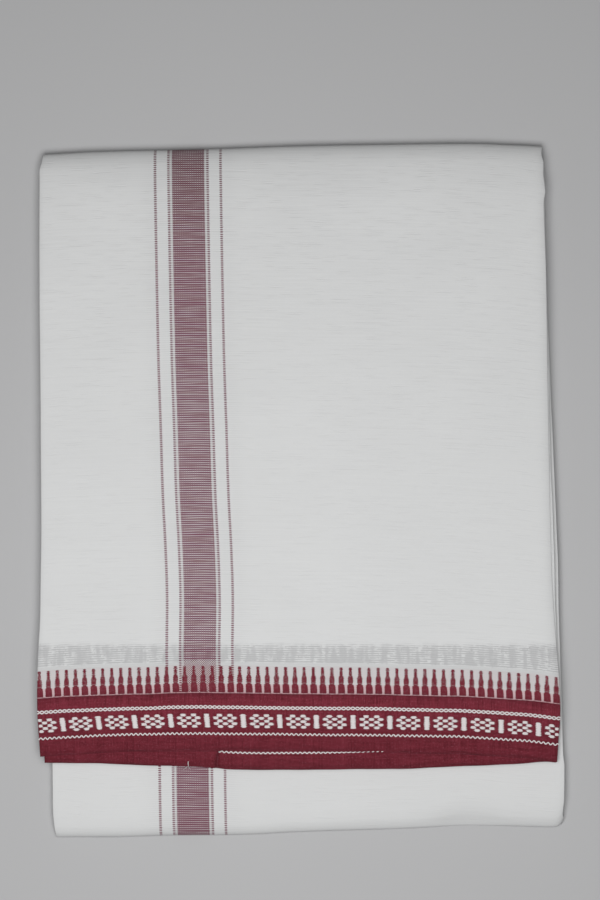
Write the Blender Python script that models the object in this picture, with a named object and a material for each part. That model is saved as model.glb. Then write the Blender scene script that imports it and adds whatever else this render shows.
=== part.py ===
"""Folded dhoti: one long cotton cloth, pleated to a stack and folded twice across its width.

The tables and sizes are in millimetres, and the meshes in metres. X runs along the cloth's length,
Y along its width and Z up. The packet lies on z = 0, with the origin under its centre.

The outermost layer of the stack is one continuous cloth. From its selvedge on the front it runs up
the front flap, round the top fold, along the underside, round the bottom fold and then up under
the flap. Each stretch of it is a wall of its own, two more layers show their borders below the
flap's selvedge, and one solid between these walls holds every layer that is hidden.
"""

import math
from typing import Callable, NamedTuple

import bmesh
import bpy
from mathutils import Vector

MM = 0.001

# Driving sizes
PACKET_HEIGHT = 14.0        # all 64 layers, from the underside to the top of the flap
LOWER_HEIGHT = 7.5          # the half of the layers that lies below the flap
WALL = 1.0                  # each stretch that shows
LAYER_GAP = 0.35            # air between one solid and the next
BORDER_WIDTH = 28.8         # solid maroon, from the selvedge to the temples' base line
TUCK_DEPTH = 50.0           # how far the two hidden borders run up under the flap
TUCK_RAMP = 4.0             # over which the hidden layers rise again above those borders
CUT_END_X = -40.9           # cut end of the cloth, seen under the flap
CUT_END_RAMP = 6.0          # over which the second layer rises beside the cut end
TOP_FOLD_REACH = 10.0       # how far the top fold rounds away, seen from above
BOTTOM_FOLD_REACH = 5.0     # the same at the bottom fold
FOLD_ROUND = 0.25           # how far a side fold's middle stands out from its faces
TURNED_INSET = 1.8          # the turned end's fold lies this far inside the front layer's
HIDDEN_INSET = 0.9          # the hidden layers' folds lie this far inside the walls' sides
HIDDEN_FOLDS = 4            # rounded folds of the hidden layers, one above another
HIDDEN_FOLD_BULGE = 0.8     # how far each of those folds swells
HIDDEN_END_INSET = 1.6      # the hidden selvedges lie this far behind the second border's
RIGHT_LEAN = 0.6            # hidden flap layers lie this share of the way out to the lower half's

# Sizes worked out from those
LAYER_PITCH = WALL + LAYER_GAP                  # one wall and the gap below it
POCKET_HALF = WALL / 2.0 + LAYER_GAP            # half the pocket that the lower front lies in
HIDDEN_ROUND_END = BOTTOM_FOLD_REACH - LAYER_PITCH - LAYER_GAP    # inside the bottom fold

WHITE_COTTON = (0.80, 0.82, 0.82, 1.0)
MAROON_COTTON = (0.16, 0.015, 0.03, 1.0)


class Sides(NamedTuple):
    """Left and right fold of a stack of layers, at one place up the packet."""

    y: float
    left: float
    right: float


class Edge(NamedTuple):
    """One place on an edge that runs across the packet."""

    x: float
    y: float


FLAP_SIDES = (
    Sides(y=-131.5, left=-126.4, right=123.8),
    Sides(y=-121.5, left=-127.1, right=124.1),
    Sides(y=-109.0, left=-127.9, right=125.1),
    Sides(y=-95.0, left=-128.0, right=124.5),
    Sides(y=-79.0, left=-127.5, right=123.8),
    Sides(y=-64.0, left=-126.6, right=122.8),
    Sides(y=-43.0, left=-126.3, right=121.5),
    Sides(y=-16.0, left=-126.0, right=120.8),
    Sides(y=12.5, left=-126.2, right=120.4),
    Sides(y=52.0, left=-126.5, right=120.6),
    Sides(y=78.0, left=-126.7, right=119.9),
    Sides(y=112.0, left=-126.9, right=118.8),
    Sides(y=147.0, left=-126.9, right=118.2),
    Sides(y=159.0, left=-126.8, right=117.8),
    Sides(y=164.0, left=-125.8, right=117.4),
    Sides(y=168.0, left=-124.8, right=117.2),
)

LOWER_SIDES = (
    Sides(y=-168.5, left=-119.5, right=124.6),
    Sides(y=-165.5, left=-119.9, right=126.6),
    Sides(y=-161.0, left=-120.5, right=127.7),
    Sides(y=-150.0, left=-120.9, right=128.1),
    Sides(y=-135.0, left=-121.0, right=127.7),
    Sides(y=-109.0, left=-121.4, right=126.8),
    Sides(y=-60.0, left=-122.4, right=125.4),
    Sides(y=-12.0, left=-123.4, right=124.3),
    Sides(y=26.0, left=-124.2, right=122.6),
    Sides(y=68.0, left=-125.0, right=121.0),
    Sides(y=142.0, left=-126.3, right=118.8),
    Sides(y=159.0, left=-126.6, right=118.0),
    Sides(y=164.0, left=-125.8, right=117.4),
    Sides(y=168.0, left=-124.8, right=117.2),
)

TOP_EDGE = (
    Edge(x=-124.8, y=163.9),
    Edge(x=-99.6, y=165.2),
    Edge(x=-44.2, y=166.5),
    Edge(x=-0.7, y=168.0),
    Edge(x=45.8, y=168.8),
    Edge(x=82.6, y=169.2),
    Edge(x=101.0, y=168.6),
    Edge(x=117.2, y=167.9),
)

BOTTOM_EDGE = (
    Edge(x=-119.6, y=-168.9),
    Edge(x=-90.8, y=-168.9),
    Edge(x=-67.5, y=-168.2),
    Edge(x=-27.3, y=-167.7),
    Edge(x=-0.7, y=-166.4),
    Edge(x=55.0, y=-164.6),
    Edge(x=78.7, y=-163.3),
    Edge(x=97.3, y=-163.5),
    Edge(x=125.1, y=-163.9),
)

FRONT_SELVEDGE = (
    Edge(x=-127.0, y=-128.6),
    Edge(x=-98.9, y=-127.1),
    Edge(x=-74.3, y=-126.2),
    Edge(x=-24.9, y=-126.2),
    Edge(x=12.9, y=-126.8),
    Edge(x=72.4, y=-127.2),
    Edge(x=97.1, y=-128.7),
    Edge(x=109.4, y=-129.6),
    Edge(x=123.9, y=-131.5),
)

TURNED_SELVEDGE = (
    Edge(x=-124.6, y=-131.7),
    Edge(x=-99.4, y=-131.9),
    Edge(x=-81.0, y=-132.6),
    Edge(x=-55.4, y=-133.5),
    Edge(x=CUT_END_X, y=-134.4),
)

SECOND_SELVEDGE = (
    Edge(x=-125.0, y=-130.4),
    Edge(x=-60.0, y=-132.4),
    Edge(x=CUT_END_X, y=-134.2),
    Edge(x=-21.0, y=-134.9),
    Edge(x=13.8, y=-134.9),
    Edge(x=47.7, y=-134.6),
    Edge(x=72.4, y=-133.2),
    Edge(x=97.1, y=-132.2),
    Edge(x=118.9, y=-131.2),
    Edge(x=123.7, y=-131.8),
)


class Skin(NamedTuple):
    """A place on the packet's outer face, and the way that the face looks there."""

    y: float
    z: float
    out_y: float
    out_z: float


Station = Callable[[float], Skin]
Lattice = list[list[list[Vector]]]


def mix(first: float, second: float, share: float) -> float:
    """Value at a share of the way from the first to the second."""
    return first + (second - first) * share


def read_table(rows: tuple, key: str, value: str, place: float) -> float:
    """Read a named column on a smooth curve through the rows, level beyond the first and last."""
    keys = [getattr(row, key) for row in rows]
    values = [getattr(row, value) for row in rows]
    if place <= keys[0]:
        return values[0]
    if place >= keys[-1]:
        return values[-1]

    def slope(index: int) -> float:
        """Slope of the curve at a row, from its two neighbours."""
        before = max(index - 1, 0)
        after = min(index + 1, len(rows) - 1)
        return (values[after] - values[before]) / (keys[after] - keys[before])

    start = max(index for index in range(len(rows) - 1) if keys[index] <= place)
    span = keys[start + 1] - keys[start]
    share = (place - keys[start]) / span
    rise = share * share * (3.0 - 2.0 * share)
    leave = share * (1.0 - share) ** 2
    arrive = -share * share * (1.0 - share)
    bend = span * (slope(start) * leave + slope(start + 1) * arrive)
    return mix(values[start], values[start + 1], rise) + bend


def edge_y(edge: tuple, x: float) -> float:
    """Place of an edge up the packet, at one place across it."""
    return read_table(edge, "x", "y", x)


def top_fold_start(x: float) -> float:
    """Where the front face begins to round away at the top fold."""
    return edge_y(TOP_EDGE, x) - TOP_FOLD_REACH


def bottom_fold_start(x: float) -> float:
    """Where the lower faces begin to round away at the bottom fold."""
    return edge_y(BOTTOM_EDGE, x) + BOTTOM_FOLD_REACH


def front_skin(above: float, share: float) -> Station:
    """Front face at a share of the way from a height above the selvedge to the top fold."""

    def skin(x: float) -> Skin:
        base = edge_y(FRONT_SELVEDGE, x) + above
        return Skin(mix(base, top_fold_start(x), share), PACKET_HEIGHT, 0.0, 1.0)

    return skin


def tucked_skin(selvedge: tuple, share: float) -> Station:
    """Front face over a hidden border, from that border's selvedge to the end of its tuck."""

    def skin(x: float) -> Skin:
        inner_end = edge_y(FRONT_SELVEDGE, x) + TUCK_DEPTH
        return Skin(mix(edge_y(selvedge, x), inner_end, share), PACKET_HEIGHT, 0.0, 1.0)

    return skin


def underside_skin(share: float) -> Station:
    """Flat underside, from the top fold to the bottom fold."""

    def skin(x: float) -> Skin:
        return Skin(mix(top_fold_start(x), bottom_fold_start(x), share), 0.0, 0.0, -1.0)

    return skin


def lower_front_skin(share: float) -> Station:
    """Top face of the lower half, from the bottom fold to the pocket of the top fold."""

    def skin(x: float) -> Skin:
        return Skin(mix(bottom_fold_start(x), top_fold_start(x), share), LOWER_HEIGHT, 0.0, 1.0)

    return skin


def fold_skin(start: Callable, reach: float, height: float, turn: float) -> Station:
    """A rounded fold: turn runs from 0 at its top face to pi at its underside."""
    half = height / 2.0
    across = math.sin(turn) * math.copysign(1.0, reach)
    up = math.cos(turn)
    lean = Vector((across / abs(reach), up / half)).normalized()

    def skin(x: float) -> Skin:
        return Skin(start(x) + abs(reach) * across, half + half * up, lean.x, lean.y)

    return skin


def top_fold_skin(turn: float) -> Station:
    """The top fold, from the front face round to the underside."""
    return fold_skin(top_fold_start, TOP_FOLD_REACH, PACKET_HEIGHT, turn)


def bottom_fold_skin(turn: float) -> Station:
    """The bottom fold, from the lower half's top face round to the underside."""
    return fold_skin(bottom_fold_start, -BOTTOM_FOLD_REACH, LOWER_HEIGHT, turn)


def even_shares(steps: int) -> list[float]:
    """Shares from 0 to 1 in even steps."""
    return [step / steps for step in range(steps + 1)]


def inside(skin: Skin, x: float, depth: float) -> Vector:
    """The point at a depth below the outer face."""
    return Vector((x, skin.y - skin.out_y * depth, skin.z - skin.out_z * depth))


def even_columns(sides: tuple, y: float, steps: int) -> list[float]:
    """Even places across the packet, from one side fold to the other."""
    left = read_table(sides, "y", "left", y)
    right = read_table(sides, "y", "right", y)
    return [mix(left, right, share) for share in even_shares(steps)]


def stepped_columns(left: float, right: float) -> list[float]:
    """Places across the packet that fall on both ends of the ramp beside the cut end."""
    left_steps = 5
    right_steps = 8
    ramp_end = CUT_END_X + CUT_END_RAMP
    before = [mix(left, CUT_END_X, share) for share in even_shares(left_steps)]
    after = [mix(ramp_end, right, share) for share in even_shares(right_steps)]
    return before + after


def layers_above(x: float) -> float:
    """Layers of the flap that lie over the second one: two beside the cut end, or else one."""
    beyond = (x - CUT_END_X) / CUT_END_RAMP
    return 2.0 - min(max(beyond, 0.0), 1.0)


def wall_lattice(stations: list[Station], columns: Callable, depth: Callable) -> Lattice:
    """Points of a wall whose two side folds are rounded.

    columns gives the places across at a height up the packet, and depth how far below the
    packet's outer face the wall's own outer face lies at a place across.
    """
    lattice = []
    for station in stations:
        across = columns(station(0.0).y)
        row = []
        for index, x in enumerate(across):
            side = (index == len(across) - 1) - (index == 0)
            stack = []
            for level, swell in ((0.0, 0.0), (0.5, FOLD_ROUND), (1.0, 0.0)):
                point = inside(station(x), x, depth(x) + level * WALL)
                point.x += side * swell
                stack.append(point)
            row.append(stack)
        lattice.append(row)
    return lattice


def build_block(name: str, lattice: Lattice, colour: tuple) -> bpy.types.Object:
    """Close the outside of a lattice of points, by station, column and depth, as one solid."""
    mesh_edit = bmesh.new()
    counts = (len(lattice), len(lattice[0]), len(lattice[0][0]))
    made = {}

    def vertex(place: tuple) -> bmesh.types.BMVert:
        """The lattice point's vertex, made when it is first asked for."""
        if place not in made:
            station, column, depth = place
            made[place] = mesh_edit.verts.new(lattice[station][column][depth] * MM)
        return made[place]

    for normal in range(3):
        first, second = [axis for axis in range(3) if axis != normal]
        for level in (0, counts[normal] - 1):
            for one in range(counts[first] - 1):
                for two in range(counts[second] - 1):
                    corners = []
                    for step_one, step_two in ((0, 0), (1, 0), (1, 1), (0, 1)):
                        place = [level, level, level]
                        place[first] = one + step_one
                        place[second] = two + step_two
                        corners.append(vertex(tuple(place)))
                    mesh_edit.faces.new(corners)
    bmesh.ops.recalc_face_normals(mesh_edit, faces=mesh_edit.faces[:])

    mesh = bpy.data.meshes.new(name)
    mesh_edit.to_mesh(mesh)
    mesh_edit.free()
    mesh.shade_smooth()
    mesh.set_sharp_from_angle(angle=math.radians(40.0))
    mesh.materials.append(cotton(name, colour))
    block = bpy.data.objects.new(name, mesh)
    bpy.context.scene.collection.objects.link(block)
    return block


def cotton(name: str, colour: tuple) -> bpy.types.Material:
    """Matt woven cotton of one colour."""
    material = bpy.data.materials.new(name)
    material.use_nodes = True
    shader = material.node_tree.nodes["Principled BSDF"]
    shader.inputs["Base Color"].default_value = colour
    shader.inputs["Roughness"].default_value = 0.9
    shader.inputs["Metallic"].default_value = 0.0
    material.diffuse_color = colour
    return material


def on_the_face(_x: float) -> float:
    """Depth of a wall that is the packet's own outer face."""
    return 0.0


def flap_columns(steps: int) -> Callable:
    """Even columns between the flap's side folds."""
    return lambda y: even_columns(FLAP_SIDES, y, steps)


def lower_columns(steps: int) -> Callable:
    """Even columns between the lower half's side folds."""
    return lambda y: even_columns(LOWER_SIDES, y, steps)


def build_front_border() -> None:
    """Maroon border of the outermost layer, from its selvedge to the white field."""
    columns = 24
    rows = 2

    def border_skin(share: float) -> Station:
        return lambda x: Skin(
            edge_y(FRONT_SELVEDGE, x) + BORDER_WIDTH * share, PACKET_HEIGHT, 0.0, 1.0
        )

    stations = [border_skin(share) for share in even_shares(rows)]
    lattice = wall_lattice(stations, flap_columns(columns), on_the_face)
    build_block("front_border", lattice, MAROON_COTTON)


def build_front_flap() -> None:
    """White field of the outermost layer, up the front and round the top fold."""
    columns = 20
    rows = 7
    fold_steps = 10
    seam = BORDER_WIDTH + LAYER_GAP
    stations = [front_skin(seam, share) for share in even_shares(rows)]
    stations += [top_fold_skin(math.pi * share) for share in even_shares(fold_steps)[1:]]
    lattice = wall_lattice(stations, flap_columns(columns), on_the_face)
    build_block("front_flap", lattice, WHITE_COTTON)


def build_back_panel() -> None:
    """Flat underside between the two folds."""
    columns = 20
    rows = 6
    length = top_fold_start(0.0) - bottom_fold_start(0.0)
    seam = LAYER_GAP / length
    shares = [mix(seam, 1.0 - seam, share) for share in even_shares(rows)]
    stations = [underside_skin(share) for share in shares]
    lattice = wall_lattice(stations, lower_columns(columns), on_the_face)
    build_block("back_panel", lattice, WHITE_COTTON)


def build_lower_front() -> None:
    """Bottom fold and the lower half's top face, up to the pocket of the top fold."""
    columns = 20
    fold_steps = 8
    rows = 6
    stations = [bottom_fold_skin(math.pi * (1.0 - share)) for share in even_shares(fold_steps)]
    stations += [lower_front_skin(share) for share in even_shares(rows)[1:]]
    lattice = wall_lattice(stations, lower_columns(columns), on_the_face)
    build_block("lower_front", lattice, WHITE_COTTON)


def build_turned_end() -> None:
    """Cut end of the cloth, turned in at the left fold and tucked under the flap."""
    steps = 8
    rows = 2

    def columns(y: float) -> list[float]:
        left = read_table(FLAP_SIDES, "y", "left", y) + TURNED_INSET
        return [mix(left, CUT_END_X, share) for share in even_shares(steps)]

    stations = [tucked_skin(TURNED_SELVEDGE, share) for share in even_shares(rows)]
    lattice = wall_lattice(stations, columns, lambda _x: LAYER_PITCH)
    build_block("turned_end", lattice, MAROON_COTTON)


def build_second_border() -> None:
    """Border of the second layer, joined to the front one by the right fold."""
    rows = 2

    def columns(y: float) -> list[float]:
        left = read_table(FLAP_SIDES, "y", "left", y) + TURNED_INSET
        right = read_table(FLAP_SIDES, "y", "right", y) - FOLD_ROUND
        return stepped_columns(left, right)

    stations = [tucked_skin(SECOND_SELVEDGE, share) for share in even_shares(rows)]
    lattice = wall_lattice(stations, columns, lambda x: LAYER_PITCH * layers_above(x))
    build_block("second_border", lattice, MAROON_COTTON)


class Ring(NamedTuple):
    """One section across the hidden layers, from their outer face to their inner one.

    outer and inner give each face's y and z at a place across, turn how far round the top fold
    the section lies, from 0 on the flap to 1 on the lower half.
    """

    outer: Callable
    inner: Callable
    turn: float


def flap_ring(y_at: Callable, tucked: bool) -> Ring:
    """Section across the flap, under the tucked borders or above them."""

    def outer(x: float) -> tuple[float, float]:
        layers = 1.0 + layers_above(x) if tucked else 1.0
        return y_at(x), PACKET_HEIGHT - LAYER_PITCH * layers

    def inner(x: float) -> tuple[float, float]:
        return y_at(x), PACKET_HEIGHT / 2.0 + POCKET_HALF

    return Ring(outer, inner, 0.0)


def top_fold_ring(turn: float) -> Ring:
    """Section through the hidden layers where they bend round the pocket."""

    def outer(x: float) -> tuple[float, float]:
        point = inside(top_fold_skin(turn)(x), x, LAYER_PITCH)
        return point.y, point.z

    def inner(x: float) -> tuple[float, float]:
        y = top_fold_start(x) + POCKET_HALF * math.sin(turn)
        return y, PACKET_HEIGHT / 2.0 + POCKET_HALF * math.cos(turn)

    return Ring(outer, inner, turn / math.pi)


def lower_ring(share: float) -> Ring:
    """Section across the lower half."""

    def outer(x: float) -> tuple[float, float]:
        return mix(top_fold_start(x), bottom_fold_start(x), share), LAYER_PITCH

    def inner(x: float) -> tuple[float, float]:
        return outer(x)[0], PACKET_HEIGHT / 2.0 - POCKET_HALF

    return Ring(outer, inner, 1.0)


def ring_sides(ring: Ring) -> tuple[float, float]:
    """Places of the hidden layers' left and right folds at one section."""
    y = ring.outer(0.0)[0]
    flap_left = read_table(FLAP_SIDES, "y", "left", y)
    lower_left = read_table(LOWER_SIDES, "y", "left", y)
    lower_right = read_table(LOWER_SIDES, "y", "right", y)
    flap_right = mix(read_table(FLAP_SIDES, "y", "right", y), lower_right, RIGHT_LEAN)
    left = mix(flap_left, lower_left, ring.turn)
    right = mix(flap_right, lower_right, ring.turn)
    return left + HIDDEN_INSET, right - HIDDEN_INSET


def hidden_rings() -> list[Ring]:
    """Sections of the hidden layers, from their selvedges round the top fold to the bottom fold."""
    flap_steps = 3
    fold_steps = 10
    lower_steps = 4

    def above_selvedge(height: float) -> Callable:
        return lambda x: edge_y(FRONT_SELVEDGE, x) + height

    def up_the_flap(share: float) -> Callable:
        return lambda x: mix(above_selvedge(TUCK_DEPTH + TUCK_RAMP)(x), top_fold_start(x), share)

    rings = [
        flap_ring(lambda x: edge_y(SECOND_SELVEDGE, x) + HIDDEN_END_INSET, True),
        flap_ring(above_selvedge(TUCK_DEPTH / 2.0), True),
        flap_ring(above_selvedge(TUCK_DEPTH + LAYER_GAP), True),
    ]
    rings += [flap_ring(up_the_flap(share), False) for share in even_shares(flap_steps)]
    rings += [top_fold_ring(math.pi * share) for share in even_shares(fold_steps)[1:]]
    rings += [lower_ring(share) for share in even_shares(lower_steps)[1:]]
    return rings


def build_inner_folds() -> None:
    """Every hidden layer as one solid, with rounded folds at its sides and selvedges."""
    steps_per_fold = 3
    depths = even_shares(HIDDEN_FOLDS * steps_per_fold)
    rings = hidden_rings()
    lattice = []
    for index, ring in enumerate(rings):
        across = stepped_columns(*ring_sides(ring))
        row = []
        for column, x in enumerate(across):
            side = (column == len(across) - 1) - (column == 0)
            outer = ring.outer(x)
            inner = ring.inner(x)
            stack = []
            for depth in depths:
                swell = HIDDEN_FOLD_BULGE * abs(math.sin(HIDDEN_FOLDS * math.pi * depth))
                y = mix(outer[0], inner[0], depth)
                z = mix(outer[1], inner[1], depth)
                if index == 0:
                    y -= swell
                if index == len(rings) - 1:
                    off_centre = 2.0 * depth - 1.0
                    y -= HIDDEN_ROUND_END * math.sqrt(1.0 - off_centre * off_centre)
                stack.append(Vector((x + side * swell, y, z)))
            row.append(stack)
        lattice.append(row)
    build_block("inner_folds", lattice, WHITE_COTTON)


def clear_scene() -> None:
    """Remove whatever the open file holds."""
    for leftover in list(bpy.data.objects):
        bpy.data.objects.remove(leftover, do_unlink=True)


def main() -> None:
    """Build the packet from its outermost layer inwards."""
    clear_scene()
    build_front_flap()
    build_front_border()
    build_turned_end()
    build_second_border()
    build_lower_front()
    build_back_panel()
    build_inner_folds()


main()
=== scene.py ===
"""Folded dhoti: a long white cotton cloth with a maroon temple border, folded to a flat packet.

The tables and sizes are in millimetres and the meshes in metres. X runs along the cloth's length,
Y along its width and Z up. The packet lies on z = 0, with the origin under its centre. Each layer
runs up the flap, round the top fold, along the underside, round the bottom fold, up the lower
front, round the pocket inside the top fold and down the flap's inner face.
"""

import logging
import math
from dataclasses import dataclass, field
from enum import Enum
from typing import Callable, Sequence

import bmesh
import bpy
import numpy as np
from bpy.types import Material, Mesh, Node, NodeSocket, NodeTree, Object
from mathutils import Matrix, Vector


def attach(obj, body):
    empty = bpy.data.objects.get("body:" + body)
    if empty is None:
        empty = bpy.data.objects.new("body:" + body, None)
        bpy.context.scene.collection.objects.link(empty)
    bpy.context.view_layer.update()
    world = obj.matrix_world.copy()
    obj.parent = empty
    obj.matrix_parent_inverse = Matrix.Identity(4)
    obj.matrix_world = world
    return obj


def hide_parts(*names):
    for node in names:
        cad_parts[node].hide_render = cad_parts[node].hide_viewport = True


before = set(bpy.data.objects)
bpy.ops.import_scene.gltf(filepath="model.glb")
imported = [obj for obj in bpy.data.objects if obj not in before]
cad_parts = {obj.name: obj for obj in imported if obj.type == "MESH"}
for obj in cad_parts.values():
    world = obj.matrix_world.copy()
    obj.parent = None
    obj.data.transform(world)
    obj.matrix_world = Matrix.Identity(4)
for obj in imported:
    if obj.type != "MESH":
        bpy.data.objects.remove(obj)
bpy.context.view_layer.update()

LOG = logging.getLogger("folded_dhoti")
MM = 0.001
BODY = "root"
WHITE_SLOT = "white_cotton"
MAROON_SLOT = "maroon_border"
CLOTH_MAP = "Cloth"         # place on the flat cloth, in metres from the selvedge
BAKE_MAP = "OFBake"         # faces laid out flat without overlap

Numbers = np.ndarray | float
Output = NodeSocket
Socket = Output | float | tuple
Colour = tuple[float, float, float, float]

# Heights in the packet
PACKET_HEIGHT = 14.0
LOWER_HEIGHT = 7.5
SECOND_TOP = 12.65          # under the flap's outermost layer
SECOND_LOW = 11.0           # under the turned end
TOP_REACH = 10.0
BOTTOM_REACH = 5.5
TOP_TIP = 0.36              # height of a fold's outermost line, as a share of the fold's height
BOTTOM_TIP = 0.26
TOP_SLOPE = 0.24            # how steeply the layers settle towards a fold
TOP_SLUMP = 20.0            # over what distance they settle
BOTTOM_SLOPE = 0.34
BOTTOM_SLUMP = 6.0
SIDE_SLUMPS = ((0.28, 1.7), (1.0, 4.8))     # at the left and the right: how much, over what distance
POCKET_REACH = 4.5
FACE_SINK = 0.05            # how far a face lies below its full height, to leave room for creases
DROOP = 0.98                # how far the flap sinks towards its selvedge
DROOP_REACH = 42.0
UNDER_FLAP = 0.80           # from the flap's face down to the hidden layers
UNDER_TUCK = 0.72           # from the tucked borders down to the hidden layers
UNDER_FACE = 0.78           # from the other faces in to the hidden layers
FOLD_INSET = 0.75           # from the outermost layer's folds in to the next layer's
POCKET_GAP = 0.15           # between the lower front and the flap's inner face
HIDDEN_EDGE = 2.0           # how far up from the second layer's selvedge the hidden ones end
DENT_X = 82.0               # dent pressed into the bottom fold
DENT_WIDTH = 14.0
CUT_END_X = -40.9
CUT_END_LEVEL = -126.3      # y where the cut end is at its place, and how it leans up from there
CUT_END_LEAN = 0.13
CUT_END_RAMP = 4.4
TUCK_DEPTH = 50.0
TUCK_CLEAR = 2.0            # how far short of that depth the tucked borders end

# Pattern of the cloth, in mm along its length (u) and in from its selvedge (v)
TEMPLE_PITCH = 4.40
TEMPLE_START = -122.4       # x of the first temple, and how the pitch spreads across the packet
TEMPLE_STEP = 4.370
TEMPLE_SPREAD = 0.001825
STRIPE_CENTRE = 73.5
STRIPE_BAND = (-7.90, 7.68)                     # the stripe's parts, from its centre
STRIPE_CORDS = ((-8.90, -8.05), (7.80, 8.85))
STRIPE_LINES = ((-15.86, 0.62), (-9.42, 0.55), (9.42, 0.55), (15.68, 0.58))    # and half widths
MOTIF_PERIOD = 17.44
MOTIF_START = 6.9
BAR_WIDTH = 3.3
MOTIFS = range(-1, 16)
FLOWER_ROWS = ((-2.5, 2.5), (-4.35, 0.0, 4.35), (-2.5, 2.5), (-4.35, 0.0, 4.35), (-2.5, 2.5))
WAVE_PERIOD = 2.2
SECOND_WAVE_END = 41.0      # x where the second layer's wavy line slips under the flap
WAVY_LEVEL = 8.7
MOTIF_LEVEL = 15.0
CHAIN_LEVEL = 21.6
BORDER_WIDTH = 28.35
THREAD_PITCH = 0.535
BASE_LINE = (28.44, 28.86)  # levels of the white line under the temples
TEMPLES = (28.84, 41.58)    # levels of the temples, and of their paler waist
TEMPLE_WAIST = (33.70, 33.95)
SHOWN_UP_TO = (-77.6, -71.6)        # y over which the tucked borders stop showing through
CLOTH_THICKNESS = 0.25
SEAM_SHARE = 0.1            # share of the flap's rows that the border takes
CLOTH_WIDTH = 1270.0

TEMPLE_ROWS = (             # level and half width of the stepped temples
    (28.6, 1.66), (31.9, 1.61), (32.5, 1.57), (32.85, 1.46), (33.1, 1.22), (33.4, 1.13),
    (33.75, 1.07), (34.1, 1.21), (36.6, 1.23), (37.0, 1.04), (37.3, 0.76), (38.9, 0.77),
    (39.5, 0.71), (40.15, 0.69), (40.5, 0.80), (41.2, 0.80), (41.45, 0.45), (41.55, 0.0),
)

LOOSE_THREAD = (            # the two branches of the loose thread end
    ((-54.8, -131.0, 12.7), (-54.9, -132.0, 12.85), (-54.8, -132.8, 12.6),
     (-55.4, -133.8, 10.6), (-56.5, -134.8, 8.7), (-57.3, -135.5, 7.9)),
    ((-54.8, -132.7, 12.65), (-54.6, -133.8, 10.8), (-54.4, -134.6, 8.9), (-54.0, -135.3, 7.95)),
)

FLAP_SIDES = (
    (-131.5, -126.4, 123.9), (-121.5, -127.1, 124.5), (-109.0, -127.9, 125.5),
    (-95.0, -128.0, 125.2), (-79.0, -127.5, 124.1), (-64.0, -126.6, 122.8),
    (-43.0, -126.3, 121.5), (-16.0, -126.0, 120.7), (12.5, -126.2, 120.1),
    (52.0, -126.5, 119.3), (78.0, -126.7, 119.0), (97.0, -126.8, 118.8),
    (112.0, -126.9, 118.4), (126.0, -126.9, 117.9), (141.0, -126.9, 117.5),
    (144.0, -126.9, 118.2), (148.5, -126.9, 118.1), (151.0, -126.9, 117.4),
    (156.5, -127.0, 117.4), (159.5, -126.0, 117.6), (164.0, -125.6, 116.5),
    (168.0, -124.8, 117.2),
)
LOWER_SIDES = (
    (-168.5, -119.5, 124.6), (-165.5, -119.9, 126.4), (-162.5, -120.3, 127.7),
    (-159.5, -120.6, 127.3), (-155.0, -120.8, 127.6), (-151.0, -120.9, 128.1),
    (-145.0, -120.9, 127.9), (-137.0, -121.0, 128.1), (-132.0, -121.0, 127.5),
    (-109.0, -121.4, 126.8), (-60.0, -122.4, 125.2), (-33.0, -123.0, 124.7),
    (-12.0, -123.4, 123.8), (26.0, -124.2, 122.3), (45.0, -124.6, 121.4),
    (68.0, -125.0, 120.5), (96.0, -125.5, 119.3), (142.0, -126.3, 118.2),
    (159.0, -126.6, 117.8), (164.0, -125.8, 117.4), (168.0, -124.8, 117.2),
)
TOP_EDGE = (
    (-124.8, 163.9), (-99.6, 165.2), (-44.2, 166.5), (-0.7, 168.0), (45.8, 168.8),
    (82.6, 169.2), (101.0, 168.6), (117.2, 167.9),
)
BOTTOM_EDGE = (
    (-119.6, -168.9), (-90.8, -168.9), (-67.5, -168.2), (-27.3, -167.7), (-0.7, -166.4),
    (55.0, -164.6), (78.7, -163.3), (97.3, -163.5), (121.0, -164.1), (124.9, -163.8),
    (126.4, -163.0), (127.9, -161.0),
)
FRONT_SELVEDGE = (
    (-127.0, -128.6), (-98.9, -127.1), (-74.3, -126.2), (-24.9, -126.2), (12.9, -126.8),
    (72.4, -127.2), (97.1, -128.7), (109.4, -129.6), (123.9, -131.5),
)
TURNED_SELVEDGE = (
    (-124.6, -131.7), (-99.4, -131.9), (-81.0, -132.6), (-55.4, -133.5), (-40.9, -134.4),
)
SECOND_SELVEDGE = (
    (-125.0, -130.4), (-60.0, -132.4), (-40.9, -134.3), (-21.0, -135.06), (13.8, -135.02),
    (47.7, -134.6), (68.0, -133.7), (78.0, -133.3), (95.0, -132.6), (108.0, -132.1),
    (118.9, -131.3), (123.7, -131.8),
)
CHAIN_RISE = (
    (-127.0, 21.40), (-112.0, 21.45), (-102.0, 21.15), (-86.0, 21.00), (-74.0, 21.08),
    (-62.0, 21.48), (-40.0, 21.64), (-24.0, 21.52), (-12.0, 21.28), (2.0, 21.44),
    (14.0, 21.55), (48.0, 21.36), (72.0, 21.00), (90.0, 21.18), (100.0, 21.22),
    (110.0, 21.15), (118.0, 21.30),
)
FLAP_DRIFT = (
    (-90.0, 0.0), (-77.0, -0.2), (-52.2, 0.0), (-28.5, -0.7), (-0.9, -2.1), (31.5, -3.1),
    (68.3, -4.3), (164.6, -6.1),
)
LOWER_DRIFT = ((-168.0, -3.4), (-134.0, -3.9), (168.0, -6.1))


def mix(first: Numbers, second: Numbers, share: Numbers) -> Numbers:
    """Value at a share of the way from the first to the second."""
    return first + (second - first) * share


def smooth_step(low: float, high: float, value: Numbers) -> Numbers:
    """Smooth rise from 0 at low to 1 at high."""
    share = np.clip((value - low) / (high - low), 0.0, 1.0)
    return share * share * (3.0 - 2.0 * share)


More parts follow.
